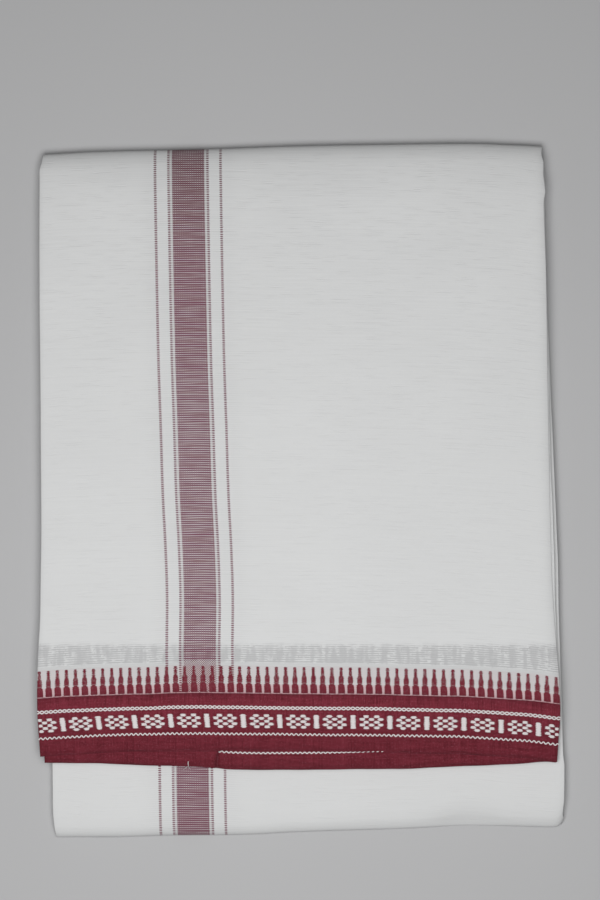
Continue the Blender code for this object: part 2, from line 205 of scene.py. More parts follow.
def ripple(place: Numbers, seed: float) -> Numbers:
    """Small irregular waves between about -1 and 1, from the same three sines at any seed."""
    slow = np.sin(place / 31.0 + seed * 2.3)
    middle = np.sin(place / 12.7 + seed * 5.1 + 1.0)
    quick = np.sin(place / 5.3 + seed * 9.7 + 2.0)
    return 0.5 * slow + 0.32 * middle + 0.18 * quick


class Profile:
    """Smooth curve through rows of places and values, level beyond its ends."""

    def __init__(self, rows: Sequence[tuple], column: int = 1) -> None:
        """Keep the rows' places and one column of their values.

        Args:
            rows: tuples that start with the place, in rising order.
            column: which entry of each row holds the value.
        """
        self.keys = np.array([row[0] for row in rows])
        self.values = np.array([row[column] for row in rows])
        before = np.maximum(np.arange(len(rows)) - 1, 0)
        after = np.minimum(np.arange(len(rows)) + 1, len(rows) - 1)
        rise = self.values[after] - self.values[before]
        self.slopes = rise / (self.keys[after] - self.keys[before])

    def at(self, place: Numbers) -> Numbers:
        """Read the curve.

        Args:
            place: one place or an array of them.

        Returns:
            The value at each place.
        """
        held = np.clip(place, self.keys[0], self.keys[-1])
        start = np.searchsorted(self.keys, held, side="right") - 1
        start = np.clip(start, 0, len(self.keys) - 2)
        span = self.keys[start + 1] - self.keys[start]
        share = (held - self.keys[start]) / span
        rise = share * share * (3.0 - 2.0 * share)
        leave = share * (1.0 - share) ** 2
        arrive = -share * share * (1.0 - share)
        bend = span * (self.slopes[start] * leave + self.slopes[start + 1] * arrive)
        return mix(self.values[start], self.values[start + 1], rise) + bend


class Stretch(Enum):
    """Stretches of a layer's way round the packet, from one selvedge to the other."""

    FLAP = "flap"
    TOP_FOLD = "top fold"
    UNDERSIDE = "underside"
    BOTTOM_FOLD = "bottom fold"
    LOWER_FRONT = "lower front"
    POCKET = "pocket"
    INNER_FLAP = "inner flap"


class Side(Enum):
    """The two side folds, with the way outwards."""

    LEFT = -1
    RIGHT = 1


@dataclass(frozen=True)
class Crease:
    """A soft ridge or hollow along a line on a face of the packet."""

    start: tuple[float, float]
    end: tuple[float, float]
    width: float
    height: float

    def lift(self, x: Numbers, y: Numbers) -> Numbers:
        """Height of the crease at a place.

        Args:
            x: place across the packet.
            y: place up the packet.

        Returns:
            Height in mm, fading with the distance from the line.
        """
        along_x = self.end[0] - self.start[0]
        along_y = self.end[1] - self.start[1]
        length = along_x * along_x + along_y * along_y
        reach = ((x - self.start[0]) * along_x + (y - self.start[1]) * along_y) / length
        held = np.clip(reach, 0.0, 1.0)
        off_x = x - self.start[0] - held * along_x
        off_y = y - self.start[1] - held * along_y
        return self.height * np.exp(-(off_x * off_x + off_y * off_y) / self.width**2)


FLAP_CREASES = (
    Crease((-71.0, -14.0), (-71.0, -77.0), 9.0, 0.30),
    Crease((-100.0, 60.0), (-96.0, -50.0), 16.0, -0.22),
    Crease((6.0, 120.0), (20.0, 10.0), 22.0, 0.26),
    Crease((60.0, -10.0), (110.0, -60.0), 18.0, -0.24),
    Crease((-20.0, -70.0), (60.0, -84.0), 14.0, 0.22),
    Crease((92.0, 130.0), (84.0, 40.0), 15.0, 0.24),
    Crease((-110.0, 148.0), (-60.0, 152.0), 7.0, 0.26),
    Crease((104.0, -118.0), (122.0, -124.0), 9.0, 0.30),
    Crease((-120.0, -112.0), (-88.0, -121.0), 12.0, -0.24),
    Crease((-14.0, -118.0), (30.0, -112.0), 10.0, -0.18),
)
LOWER_CREASES = (
    Crease((-90.0, -146.0), (-20.0, -143.0), 10.0, 0.22),
    Crease((20.0, -150.0), (90.0, -158.0), 9.0, -0.24),
    Crease((-60.0, 40.0), (70.0, 60.0), 22.0, 0.20),
)
UNDER_CREASES = (
    Crease((-60.0, 90.0), (-48.0, -60.0), 20.0, 0.22),
    Crease((40.0, 110.0), (70.0, 0.0), 24.0, 0.26),
    Crease((-20.0, -90.0), (80.0, -120.0), 16.0, 0.20),
)


class Packet:
    """Outline of the packet and the way that its pattern lies on it."""

    flap_left = Profile(FLAP_SIDES, 1)
    flap_right = Profile(FLAP_SIDES, 2)
    lower_left = Profile(LOWER_SIDES, 1)
    lower_right = Profile(LOWER_SIDES, 2)
    top_edge = Profile(TOP_EDGE)
    bottom_edge = Profile(BOTTOM_EDGE)
    front_selvedge = Profile(FRONT_SELVEDGE)
    turned_selvedge = Profile(TURNED_SELVEDGE)
    second_selvedge = Profile(SECOND_SELVEDGE)
    chain_rise = Profile(CHAIN_RISE)
    flap_drift = Profile(FLAP_DRIFT)
    lower_drift = Profile(LOWER_DRIFT)

    def selvedge(self, x: Numbers) -> Numbers:
        """Place of the outermost layer's selvedge up the packet."""
        return self.front_selvedge.at(x) + 0.20 * ripple(x * 1.9, 0.4)

    def top_start(self, x: Numbers) -> Numbers:
        """Where the front face begins to round away at the top fold."""
        return self.top_edge.at(x) - TOP_REACH

    def bottom_start(self, x: Numbers) -> Numbers:
        """Where the lower faces begin to round away at the bottom fold."""
        return self.bottom_edge.at(x) + BOTTOM_REACH

    def side(self, side: Side, y: Numbers, turn: float) -> Numbers:
        """Place of a side fold.

        Args:
            side: left or right.
            y: place up the packet.
            turn: 0 on the flap, 1 on the lower half and between them round the top fold.

        Returns:
            The x of the outermost layer's fold.
        """
        if side is Side.LEFT:
            return mix(self.flap_left.at(y), self.lower_left.at(y), turn)
        return mix(self.flap_right.at(y), self.lower_right.at(y), turn)

    def side_slump(self, x: Numbers, y: Numbers) -> Numbers:
        """How far the flap's layers settle beside their side folds."""
        inwards = x - self.flap_left.at(y), self.flap_right.at(y) - x
        total = 0.0
        for (amount, reach), inward in zip(SIDE_SLUMPS, inwards):
            total = total + amount * (1.0 - np.clip(inward / reach, 0.0, 1.0)) ** 2
        return total

    def top_slump(self, x: Numbers, y: Numbers) -> Numbers:
        """How far the flap's layers settle towards the top fold."""
        past = np.maximum(y - self.top_start(x) + TOP_SLUMP, 0.0)
        return TOP_SLOPE * past * past / (2.0 * TOP_SLUMP)

    def bottom_slope(self, x: Numbers) -> Numbers:
        """How steeply the lower front meets the bottom fold, most in a dent near the right."""
        return BOTTOM_SLOPE * (0.85 + 0.42 * smooth_step(-40.0, 60.0, x) + 1.4 * self.dent(x))

    def dent(self, x: Numbers) -> Numbers:
        """Share of the dent pressed into the bottom fold near the right."""
        return np.exp(-(((x - DENT_X) / DENT_WIDTH) ** 2))

    def bottom_tip(self, x: Numbers) -> Numbers:
        """Height of the bottom fold's outermost line, as a share of the fold's height."""
        return BOTTOM_TIP - 0.16 * self.dent(x)

    def bottom_slump(self, x: Numbers, y: Numbers) -> Numbers:
        """How far the lower front's layers settle towards the bottom fold."""
        past = np.maximum(self.bottom_start(x) + BOTTOM_SLUMP - y, 0.0)
        return self.bottom_slope(x) * past * past / (2.0 * BOTTOM_SLUMP)

    def flap_top(self, x: Numbers, y: Numbers) -> Numbers:
        """Height of the flap's top face, with its creases and its droop towards the selvedge."""
        above = y - self.front_selvedge.at(x)
        droop = DROOP * (1.0 - smooth_step(0.0, DROOP_REACH, above))
        droop = droop + self.top_slump(x, y) + self.side_slump(x, y)
        return PACKET_HEIGHT - FACE_SINK - droop + lift_of(FLAP_CREASES, x, y)

    def second_top(self, x: Numbers) -> Numbers:
        """Height of the second layer's border, lower where the turned end lies over it."""
        beyond = smooth_step(CUT_END_X + 0.3, CUT_END_X + CUT_END_RAMP, x)
        return mix(SECOND_LOW, SECOND_TOP, beyond) - FACE_SINK

    def hidden_top(self, x: Numbers, y: Numbers) -> Numbers:
        """Height of the hidden layers of the flap, lower where the two borders are tucked in."""
        above = y - self.front_selvedge.at(x)
        beyond = np.clip((x - CUT_END_X) / CUT_END_RAMP, 0.0, 1.0)
        tucked = mix(SECOND_LOW, SECOND_TOP, beyond) - UNDER_TUCK
        open_top = PACKET_HEIGHT - UNDER_FLAP - self.top_slump(x, y) + lift_of(FLAP_CREASES, x, y)
        top = mix(tucked, open_top, smooth_step(TUCK_DEPTH + 1.0, TUCK_DEPTH + 14.0, above))
        return top - self.side_slump(x, y)

    def level_of(self, rise: Numbers, x: Numbers) -> Numbers:
        """Level in the pattern of a place this far above the selvedge."""
        chain = self.chain_rise.at(x)
        return np.where(rise < chain, rise * CHAIN_LEVEL / chain, rise + CHAIN_LEVEL - chain)

    def rise_of(self, level: Numbers, x: Numbers) -> Numbers:
        """How far above the selvedge a level of the pattern lies."""
        chain = self.chain_rise.at(x)
        return np.where(level < CHAIN_LEVEL, level * chain / CHAIN_LEVEL, level - CHAIN_LEVEL + chain)

    def along_of(self, x: Numbers) -> Numbers:
        """Place along the cloth's length (u) of a place across the packet."""
        offset = x - TEMPLE_START
        root = np.sqrt(TEMPLE_STEP**2 + 4.0 * TEMPLE_SPREAD * offset)
        return TEMPLE_PITCH * (root - TEMPLE_STEP) / (2.0 * TEMPLE_SPREAD)

    def across_of(self, along: Numbers) -> Numbers:
        """Place across the packet of a place along the cloth's length."""
        step = along / TEMPLE_PITCH
        return TEMPLE_START + TEMPLE_STEP * step + TEMPLE_SPREAD * step * step


def lift_of(creases: Sequence[Crease], x: Numbers, y: Numbers) -> Numbers:
    """Height of a face's creases together, at a place."""
    return sum(crease.lift(x, y) for crease in creases)


PACKET = Packet()


@dataclass(frozen=True)
class LayerPath:
    """Way of one hidden layer round the packet.

    depth runs from 0, just under the outermost layer, to 1, in the middle of the stack.
    """

    depth: float = 0.0

    def flap(self, x: Numbers, y: Numbers) -> Numbers:
        """Height on the flap."""
        top = PACKET.hidden_top(x, y)
        return mix(top, (top + LOWER_HEIGHT + POCKET_GAP) / 2.0, self.depth)

    def inner_flap(self, x: Numbers, y: Numbers) -> Numbers:
        """Height on the flap's inner face."""
        base = LOWER_HEIGHT + POCKET_GAP
        return mix(base, (PACKET.hidden_top(x, y) + base) / 2.0, self.depth)

    def underside(self, _x: Numbers, _y: Numbers) -> Numbers:
        """Height on the underside."""
        return mix(UNDER_FACE, LOWER_HEIGHT / 2.0, self.depth)

    def lower_front(self, x: Numbers, y: Numbers) -> Numbers:
        """Height on the lower front."""
        face = LOWER_HEIGHT - UNDER_FACE - PACKET.bottom_slump(x, y)
        return mix(face, LOWER_HEIGHT / 2.0, self.depth)

    def top_reach(self) -> float:
        """How far the layer rounds out at the top fold."""
        return mix(TOP_REACH - FOLD_INSET, POCKET_REACH, self.depth)

    def bottom_reach(self) -> float:
        """How far the layer rounds out at the bottom fold."""
        return (BOTTOM_REACH - FOLD_INSET) * (1.0 - self.depth)

    def pocket_reach(self) -> float:
        """How far the layer rounds out inside the top fold."""
        return mix(0.5, POCKET_REACH - 0.3, self.depth)

    def first_edge(self, x: Numbers) -> Numbers:
        """Place of the layer's selvedge up the packet."""
        return PACKET.second_selvedge.at(x) + HIDDEN_EDGE

    def place(self, stretch: Stretch, share: float, x: Numbers) -> tuple[Numbers, Numbers]:
        """Place on the layer.

        Args:
            stretch: which stretch of the way.
            share: how far along the stretch, from 0 to 1.
            x: place across the packet.

        Returns:
            The place up the packet and the height.
        """
        top = PACKET.top_start(x)
        bottom = PACKET.bottom_start(x)
        if stretch is Stretch.FLAP:
            y = mix(self.first_edge(x), top, share)
            return y, self.flap(x, y)
        if stretch is Stretch.UNDERSIDE:
            y = mix(top, bottom, share)
            return y, self.underside(x, y)
        if stretch is Stretch.LOWER_FRONT:
            y = mix(bottom, top, share)
            return y, self.lower_front(x, y)
        if stretch is Stretch.INNER_FLAP:
            y = mix(top, self.first_edge(x), share)
            return y, self.inner_flap(x, y)
        if stretch is Stretch.TOP_FOLD:
            ends = self.flap(x, top), self.underside(x, top)
            return self.round_end(top, self.top_reach(), (TOP_SLOPE, TOP_TIP), *ends, share)
        if stretch is Stretch.BOTTOM_FOLD:
            ends = self.lower_front(x, bottom), self.underside(x, bottom)
            shape = PACKET.bottom_slope(x), PACKET.bottom_tip(x)
            return self.round_end(bottom, -self.bottom_reach(), shape, *ends, 1.0 - share)
        turn = math.pi * share
        ends = self.lower_front(x, top), self.inner_flap(x, top)
        middle = (ends[0] + ends[1]) / 2.0
        half = (ends[0] - ends[1]) / 2.0
        return top + self.pocket_reach() * math.sin(turn), middle + half * math.cos(turn)

    def round_end(
        self, base: Numbers, reach: float, shape: tuple[Numbers, Numbers], upper: Numbers,
        lower: Numbers, share: float,
    ) -> tuple[Numbers, Numbers]:
        """Place on a fold that settles: steeper above its outermost line than below.

        Args:
            base: where the flat faces end.
            reach: how far the fold goes out from there, with its sign.
            shape: how steeply the upper face meets the fold, and how high its outermost line
                lies as a share of its height.
            upper: height of the upper face.
            lower: height of the lower face.
            share: how far round, from 0 on the upper face to 1 on the lower.

        Returns:
            The place up the packet and the height.
        """
        out, up = math.sin(math.pi * share), math.cos(math.pi * share)
        slope, tip_share = shape
        tip = mix(lower, upper, tip_share)
        slump = np.minimum(slope * abs(reach), 0.9 * (upper - tip))
        if up > 0.0:
            return base + reach * out, tip + (upper - tip - slump) * up + slump * (1.0 - out)
        return base + reach * out, tip + (tip - lower) * up


@dataclass(frozen=True)
class OuterPath(LayerPath):
    """Way of the outermost layer round the packet."""

    def flap(self, x: Numbers, y: Numbers) -> Numbers:
        """Height on the flap."""
        return PACKET.flap_top(x, y)

    def inner_flap(self, x: Numbers, y: Numbers) -> Numbers:
        """Height where the layer ends inside the pocket."""
        return LOWER_HEIGHT + 0.1 + 0.0 * (x + y)

    def underside(self, x: Numbers, y: Numbers) -> Numbers:
        """Height on the underside."""
        return lift_of(UNDER_CREASES, x, y)

    def lower_front(self, x: Numbers, y: Numbers) -> Numbers:
        """Height on the lower front, with its creases."""
        return LOWER_HEIGHT - FACE_SINK - PACKET.bottom_slump(x, y) + lift_of(LOWER_CREASES, x, y)

    def top_reach(self) -> float:
        """How far the layer rounds out at the top fold."""
        return TOP_REACH

    def bottom_reach(self) -> float:
        """How far the layer rounds out at the bottom fold."""
        return BOTTOM_REACH

    def pocket_reach(self) -> float:
        """How far the layer reaches into the pocket."""
        return 0.4

    def first_edge(self, x: Numbers) -> Numbers:
        """Place of the layer's selvedge up the packet, drawn up a little past the cut end."""
        drawn = 0.6 * smooth_step(CUT_END_X - 3.0, CUT_END_X + 3.0, x)
        return PACKET.selvedge(x) + drawn * (1.0 - smooth_step(-10.0, 60.0, x))

    def place(self, stretch: Stretch, share: float, x: Numbers) -> tuple[Numbers, Numbers]:
        """Place on the layer, with a row of the flap on the line between border and field."""
        if stretch is not Stretch.FLAP:
            return super().place(stretch, share, x)
        seam = PACKET.selvedge(x) + PACKET.rise_of(BORDER_WIDTH, x)
        if share < SEAM_SHARE:
            y = mix(self.first_edge(x), seam, share / SEAM_SHARE)
        else:
            y = mix(seam, PACKET.top_start(x), (share - SEAM_SHARE) / (1.0 - SEAM_SHARE))
        return y, self.flap(x, y)


# How far a place has gone from the flap (0) to the lower half (1), by its share of the stretch
TURN_OF = {
    Stretch.FLAP: lambda share: 0.0,
    Stretch.TOP_FOLD: lambda share: share,
    Stretch.UNDERSIDE: lambda share: 1.0,
    Stretch.BOTTOM_FOLD: lambda share: 1.0,
    Stretch.LOWER_FRONT: lambda share: 1.0,
    Stretch.POCKET: lambda share: 1.0 - share,
    Stretch.INNER_FLAP: lambda share: 0.0,
}
INSIDE_OF = {
    Stretch.FLAP: Stretch.INNER_FLAP,
    Stretch.TOP_FOLD: Stretch.POCKET,
    Stretch.UNDERSIDE: Stretch.LOWER_FRONT,
}


def stations_of(steps: dict[Stretch, int]) -> list[tuple[Stretch, float]]:
    """Places along a layer's way, in even steps on each stretch.

    Args:
        steps: how many steps each stretch has, in the order of the way.

    Returns:
        The stretch and the share along it of each place, each joint once.
    """
    stations = []
    for stretch, count in steps.items():
        first = 0 if not stations else 1
        stations += [(stretch, index / count) for index in range(first, count + 1)]
    return stations


def in_scene(name: str, data: bpy.types.ID) -> Object:
    """Make an object of a mesh, a light or a camera and put it in the scene."""
    made = bpy.data.objects.new(name, data)
    bpy.context.scene.collection.objects.link(made)
    return made


def corner_vertices(mesh: Mesh) -> np.ndarray:
    """Vertex at each face corner of a mesh."""
    index = np.empty(len(mesh.loops), dtype=np.int32)
    mesh.loops.foreach_get("vertex_index", index)
    return index


def add_map(mesh: Mesh, name: str, places: np.ndarray) -> bpy.types.MeshUVLoopLayer:
    """Give a mesh a UV map, from a place for each face corner."""
    made = mesh.uv_layers.new(name=name)
    made.data.foreach_set("uv", places.ravel().astype(np.float32))
    return made


@dataclass
class Island:
    """Rows of a grid that lie together in the bake map, in a rectangle of the unit square."""

    first_row: int
    last_row: int
    corner: tuple[float, float]
    size: tuple[float, float]


def sheet_object(
    name: str, points: np.ndarray, cloth: np.ndarray, islands: Sequence[Island] | None = None
) -> Object:
    """Make a sheet from a grid of points, with its thickness inwards from them.

    Args:
        name: name of the piece.
        points: rows, columns and coordinates in mm, with the outer face up the rows and
            towards the right along the columns.
        cloth: rows, columns and the place on the flat cloth in mm.
        islands: layout of the bake map, or None for the whole square.

    Returns:
        The new object.
    """
    rows, columns = points.shape[:2]
    vertices = (points.reshape(-1, 3) * MM).tolist()
    faces = []
    for row in range(rows - 1):
        for column in range(columns - 1):
            corner = row * columns + column
            faces.append((corner, corner + 1, corner + columns + 1, corner + columns))
    mesh = bpy.data.meshes.new(name)
    mesh.from_pydata(vertices, [], faces)
    index = corner_vertices(mesh)
    flat = add_map(mesh, CLOTH_MAP, cloth.reshape(-1, 2)[index] * MM)

    whole = [Island(0, rows - 1, (0.01, 0.01), (0.98, 0.98))]
    across = np.arange(columns) / (columns - 1)
    length = cloth[:, columns // 2, 1]
    face_row = np.repeat(np.arange(rows - 1), columns - 1).repeat(4)
    point_row, point_column = index // columns, index % columns
    baked = np.zeros((len(index), 2), dtype=np.float32)
    for island in islands or whole:
        inside = (face_row >= island.first_row) & (face_row < island.last_row)
        start, end = length[island.first_row], length[island.last_row]
        up = (length[point_row] - start) / (end - start)
        baked[inside, 0] = (island.corner[0] + across[point_column] * island.size[0])[inside]
        baked[inside, 1] = (island.corner[1] + up * island.size[1])[inside]
    add_map(mesh, BAKE_MAP, baked)
    mesh.uv_layers.active = flat
    mesh.shade_smooth()
    sheet = in_scene(name, mesh)
    solid = sheet.modifiers.new("cloth thickness", "SOLIDIFY")
    solid.thickness = CLOTH_THICKNESS * MM
    solid.offset = -1.0
    return sheet


@dataclass
class SideFold:
    """The last few millimetres of a sheet at a side, turned under in a tight fold."""

    radius: float = 0.31
    turned: tuple[float, ...] = (1.2, 3.0, 5.0, 7.0)
    arc_steps: int = 5

    def offsets(self) -> list[tuple[float, float, float]]:
        """Shape of the fold, from the last point of the flat face to the turned edge.

        Returns:
            For each point, how far it lies inwards from where the arc starts, how deep below
            the face, and how far along the cloth from there.
        """
        points = []
        for step in range(1, self.arc_steps + 1):
            turn = math.pi * step / self.arc_steps
            inward = -self.radius * math.sin(turn)
            points.append((inward, self.radius * (1.0 - math.cos(turn)), self.radius * turn))
        arc = math.pi * self.radius
        points += [(inward, 2.0 * self.radius, arc + inward) for inward in self.turned]
        return points

    def row(
        self, left: float, right: float, columns: int, sides: Sequence[Side]
    ) -> tuple[np.ndarray, np.ndarray, np.ndarray]:
        """Lay out one row of a sheet, with a fold at one side or at both.

        Args:
            left: x of the face's left end, where an arc starts.
            right: x of its right end.
            columns: how many points the face has.
            sides: the sides that are turned under.

        Returns:
            Each point's x, its x on the cloth laid flat, and its depth below the face.
        """
        rows = [(x, x, 0.0) for x in mix(left, right, np.linspace(0.0, 1.0, columns))]
        for side, end in zip(Side, (left, right)):
            out = side.value
            fold = [
                (end - out * inward, end + out * along, depth)
                for inward, depth, along in self.offsets() if side in sides
            ]
            rows = fold[::-1] + rows if side is Side.LEFT else rows + fold
        x, flat_x, depths = np.array(rows).T
        return x, flat_x, depths


@dataclass
class OuterCloth:
    """The outermost layer: its maroon border and, woven in one with it, its white field."""

    columns: int = 118
    border_rows: int = 8
    flap_rows: int = 60
    fold_rows_in_front: int = 10
    lower_rows_in_front: int = 9
    fold: SideFold = field(default_factory=SideFold)
    path: OuterPath = field(default_factory=OuterPath)

    def stations(self) -> list[tuple[Stretch, float]]:
        """Rows of the sheet, with one on the line between the border and the field."""
        rows = [
            (Stretch.FLAP, SEAM_SHARE * step / self.border_rows)
            for step in range(self.border_rows)
        ]
        rows += [
            (Stretch.FLAP, mix(SEAM_SHARE, 1.0, step / self.flap_rows))
            for step in range(self.flap_rows + 1)
        ]
        rest = {
            Stretch.TOP_FOLD: 18,
            Stretch.UNDERSIDE: 50,
            Stretch.BOTTOM_FOLD: 14,
            Stretch.LOWER_FRONT: 56,
            Stretch.POCKET: 3,
        }
        return rows + stations_of(rest)[1:]

    def lay(self) -> tuple[np.ndarray, np.ndarray, list[tuple[Stretch, float]]]:
        """Lay the sheet round the packet.

        Returns:
            The grid of points, the grid of places on the flat cloth, and the rows' stations.
        """
        stations = self.stations()
        points, cloth = [], []
        for stretch, share in stations:
            turn = TURN_OF[stretch](share)
            level, left_level, right_level = (
                self.path.place(stretch, share, x)[0] for x in (0.0, -125.0, 120.0)
            )
            wander = 0.10 * ripple(level, 3.0 + turn)
            left = PACKET.side(Side.LEFT, left_level, turn) + self.fold.radius + wander
            right = PACKET.side(Side.RIGHT, right_level, turn) - self.fold.radius + wander
            x, flat_x, depths = self.fold.row(left, right, self.columns, tuple(Side))
            y, z = self.path.place(stretch, share, x)
            out_y, out_z = self.outward(stretch, share)
            points.append(np.stack([x, y - out_y * depths, z - out_z * depths], axis=1))
            drift = (PACKET.flap_drift if turn < 0.5 else PACKET.lower_drift).at(level)
            cloth.append(np.stack([PACKET.along_of(flat_x - drift), 0.0 * x], axis=1))
        points, cloth = np.array(points), np.array(cloth)
        cloth[0, :, 1] = points[0, :, 1] - PACKET.selvedge(points[0, :, 0])
        for row in range(1, len(stations)):
            step = np.linalg.norm(points[row] - points[row - 1], axis=1)
            cloth[row, :, 1] = cloth[row - 1, :, 1] + step
        cloth[:, :, 1] = PACKET.level_of(cloth[:, :, 1], points[:, :, 0])
        return points, cloth, stations

    def outward(self, stretch: Stretch, share: float) -> tuple[float, float]:
        """Way out from the layer's outer face, in y and z."""
        if stretch is Stretch.UNDERSIDE:
            return 0.0, -1.0
        turn = math.pi * share
        if stretch is Stretch.TOP_FOLD:
            return math.sin(turn), math.cos(turn)
        if stretch is Stretch.BOTTOM_FOLD:
            return -math.sin(turn), -math.cos(turn)
        return 0.0, 1.0

    def build(self) -> tuple[Object, Object]:
        """Make the border and the field.

        Returns:
            The border's object and the field's.
        """
        points, cloth, stations = self.lay()
        seam = self.border_rows
        border = sheet_object("border_cloth", points[: seam + 1], cloth[: seam + 1])
        ways = [stretch for stretch, _ in stations[seam:]]
        fold_row = ways.index(Stretch.TOP_FOLD) + self.fold_rows_in_front
        bottom_row = ways.index(Stretch.BOTTOM_FOLD)
        hidden_row = ways.index(Stretch.LOWER_FRONT) + self.lower_rows_in_front
        last_row = len(ways) - 1
        islands = [
            Island(0, fold_row, (0.004, 0.15), (0.796, 0.846)),
            Island(fold_row, bottom_row, (0.806, 0.004), (0.094, 0.992)),
            Island(bottom_row, hidden_row, (0.004, 0.004), (0.796, 0.141)),
            Island(hidden_row, last_row, (0.906, 0.004), (0.090, 0.992)),
        ]
        return border, sheet_object("field_cloth", points[seam:], cloth[seam:], islands)


@dataclass
class TuckedBorder:
    """A border that lies under the flap, from its selvedge to where it is out of sight."""

    name: str
    selvedge: Profile
    folded_side: Side
    height: Callable[[np.ndarray], np.ndarray]
    ends: Callable[[float], tuple[float, float]]
    columns: int
    seed: float
    rows: int = 14
    fold: SideFold = field(default_factory=SideFold)

    def build(self) -> Object:
        """Make the sheet, turned under at its folded side and cut at the other.

        Returns:
            The new object.
        """
        points, cloth = [], []
        for row in range(self.rows + 1):
            share = row / self.rows
            tucked = PACKET.selvedge(0.0) + TUCK_DEPTH - TUCK_CLEAR
            left, right = self.ends(mix(self.selvedge.at(0.0), tucked, share))
            if self.folded_side is Side.LEFT:
                left += self.fold.radius
            else:
                right -= self.fold.radius
            x, flat_x, depths = self.fold.row(left, right, self.columns, (self.folded_side,))
            edge = self.selvedge.at(x) + 0.22 * ripple(x * 1.9, self.seed)
            end = PACKET.front_selvedge.at(x) + TUCK_DEPTH - TUCK_CLEAR
            y = mix(edge, end, share)
            z = self.height(x) - depths - 0.35 * (1.0 - smooth_step(0.0, 9.0, y - edge))
            z = z - PACKET.side_slump(x, y)
            points.append(np.stack([x, y, z], axis=1))
            cloth.append(np.stack([PACKET.along_of(flat_x), y - edge], axis=1))
        return sheet_object(self.name, np.array(points), np.array(cloth))


def turned_end() -> TuckedBorder:
    """The cut end of the cloth, turned in at the left fold."""

    def ends(y: float) -> tuple[float, float]:
        """From the left fold to the cut end, which leans and is a little ragged."""
        cut = CUT_END_X + 0.1 + CUT_END_LEAN * (y - CUT_END_LEVEL) + 0.12 * ripple(y, 7.0)
        return PACKET.flap_left.at(y) + 1.9, cut

    return TuckedBorder(
        name="turned_end_cloth",
        selvedge=PACKET.turned_selvedge,
        folded_side=Side.LEFT,
        height=lambda x: SECOND_TOP - FACE_SINK + 0.0 * x,
        ends=ends,
        columns=46,
        seed=1.7,
    )


def second_border() -> TuckedBorder:
    """The second layer's border, joined to the outermost one by the right fold."""
    return TuckedBorder(
        name="second_layer_cloth",
        selvedge=PACKET.second_selvedge,
        folded_side=Side.RIGHT,
        height=PACKET.second_top,
        ends=lambda y: (PACKET.flap_left.at(y) + 2.4, PACKET.flap_right.at(y) - 0.5),
        columns=110,
        seed=2.9,
    )


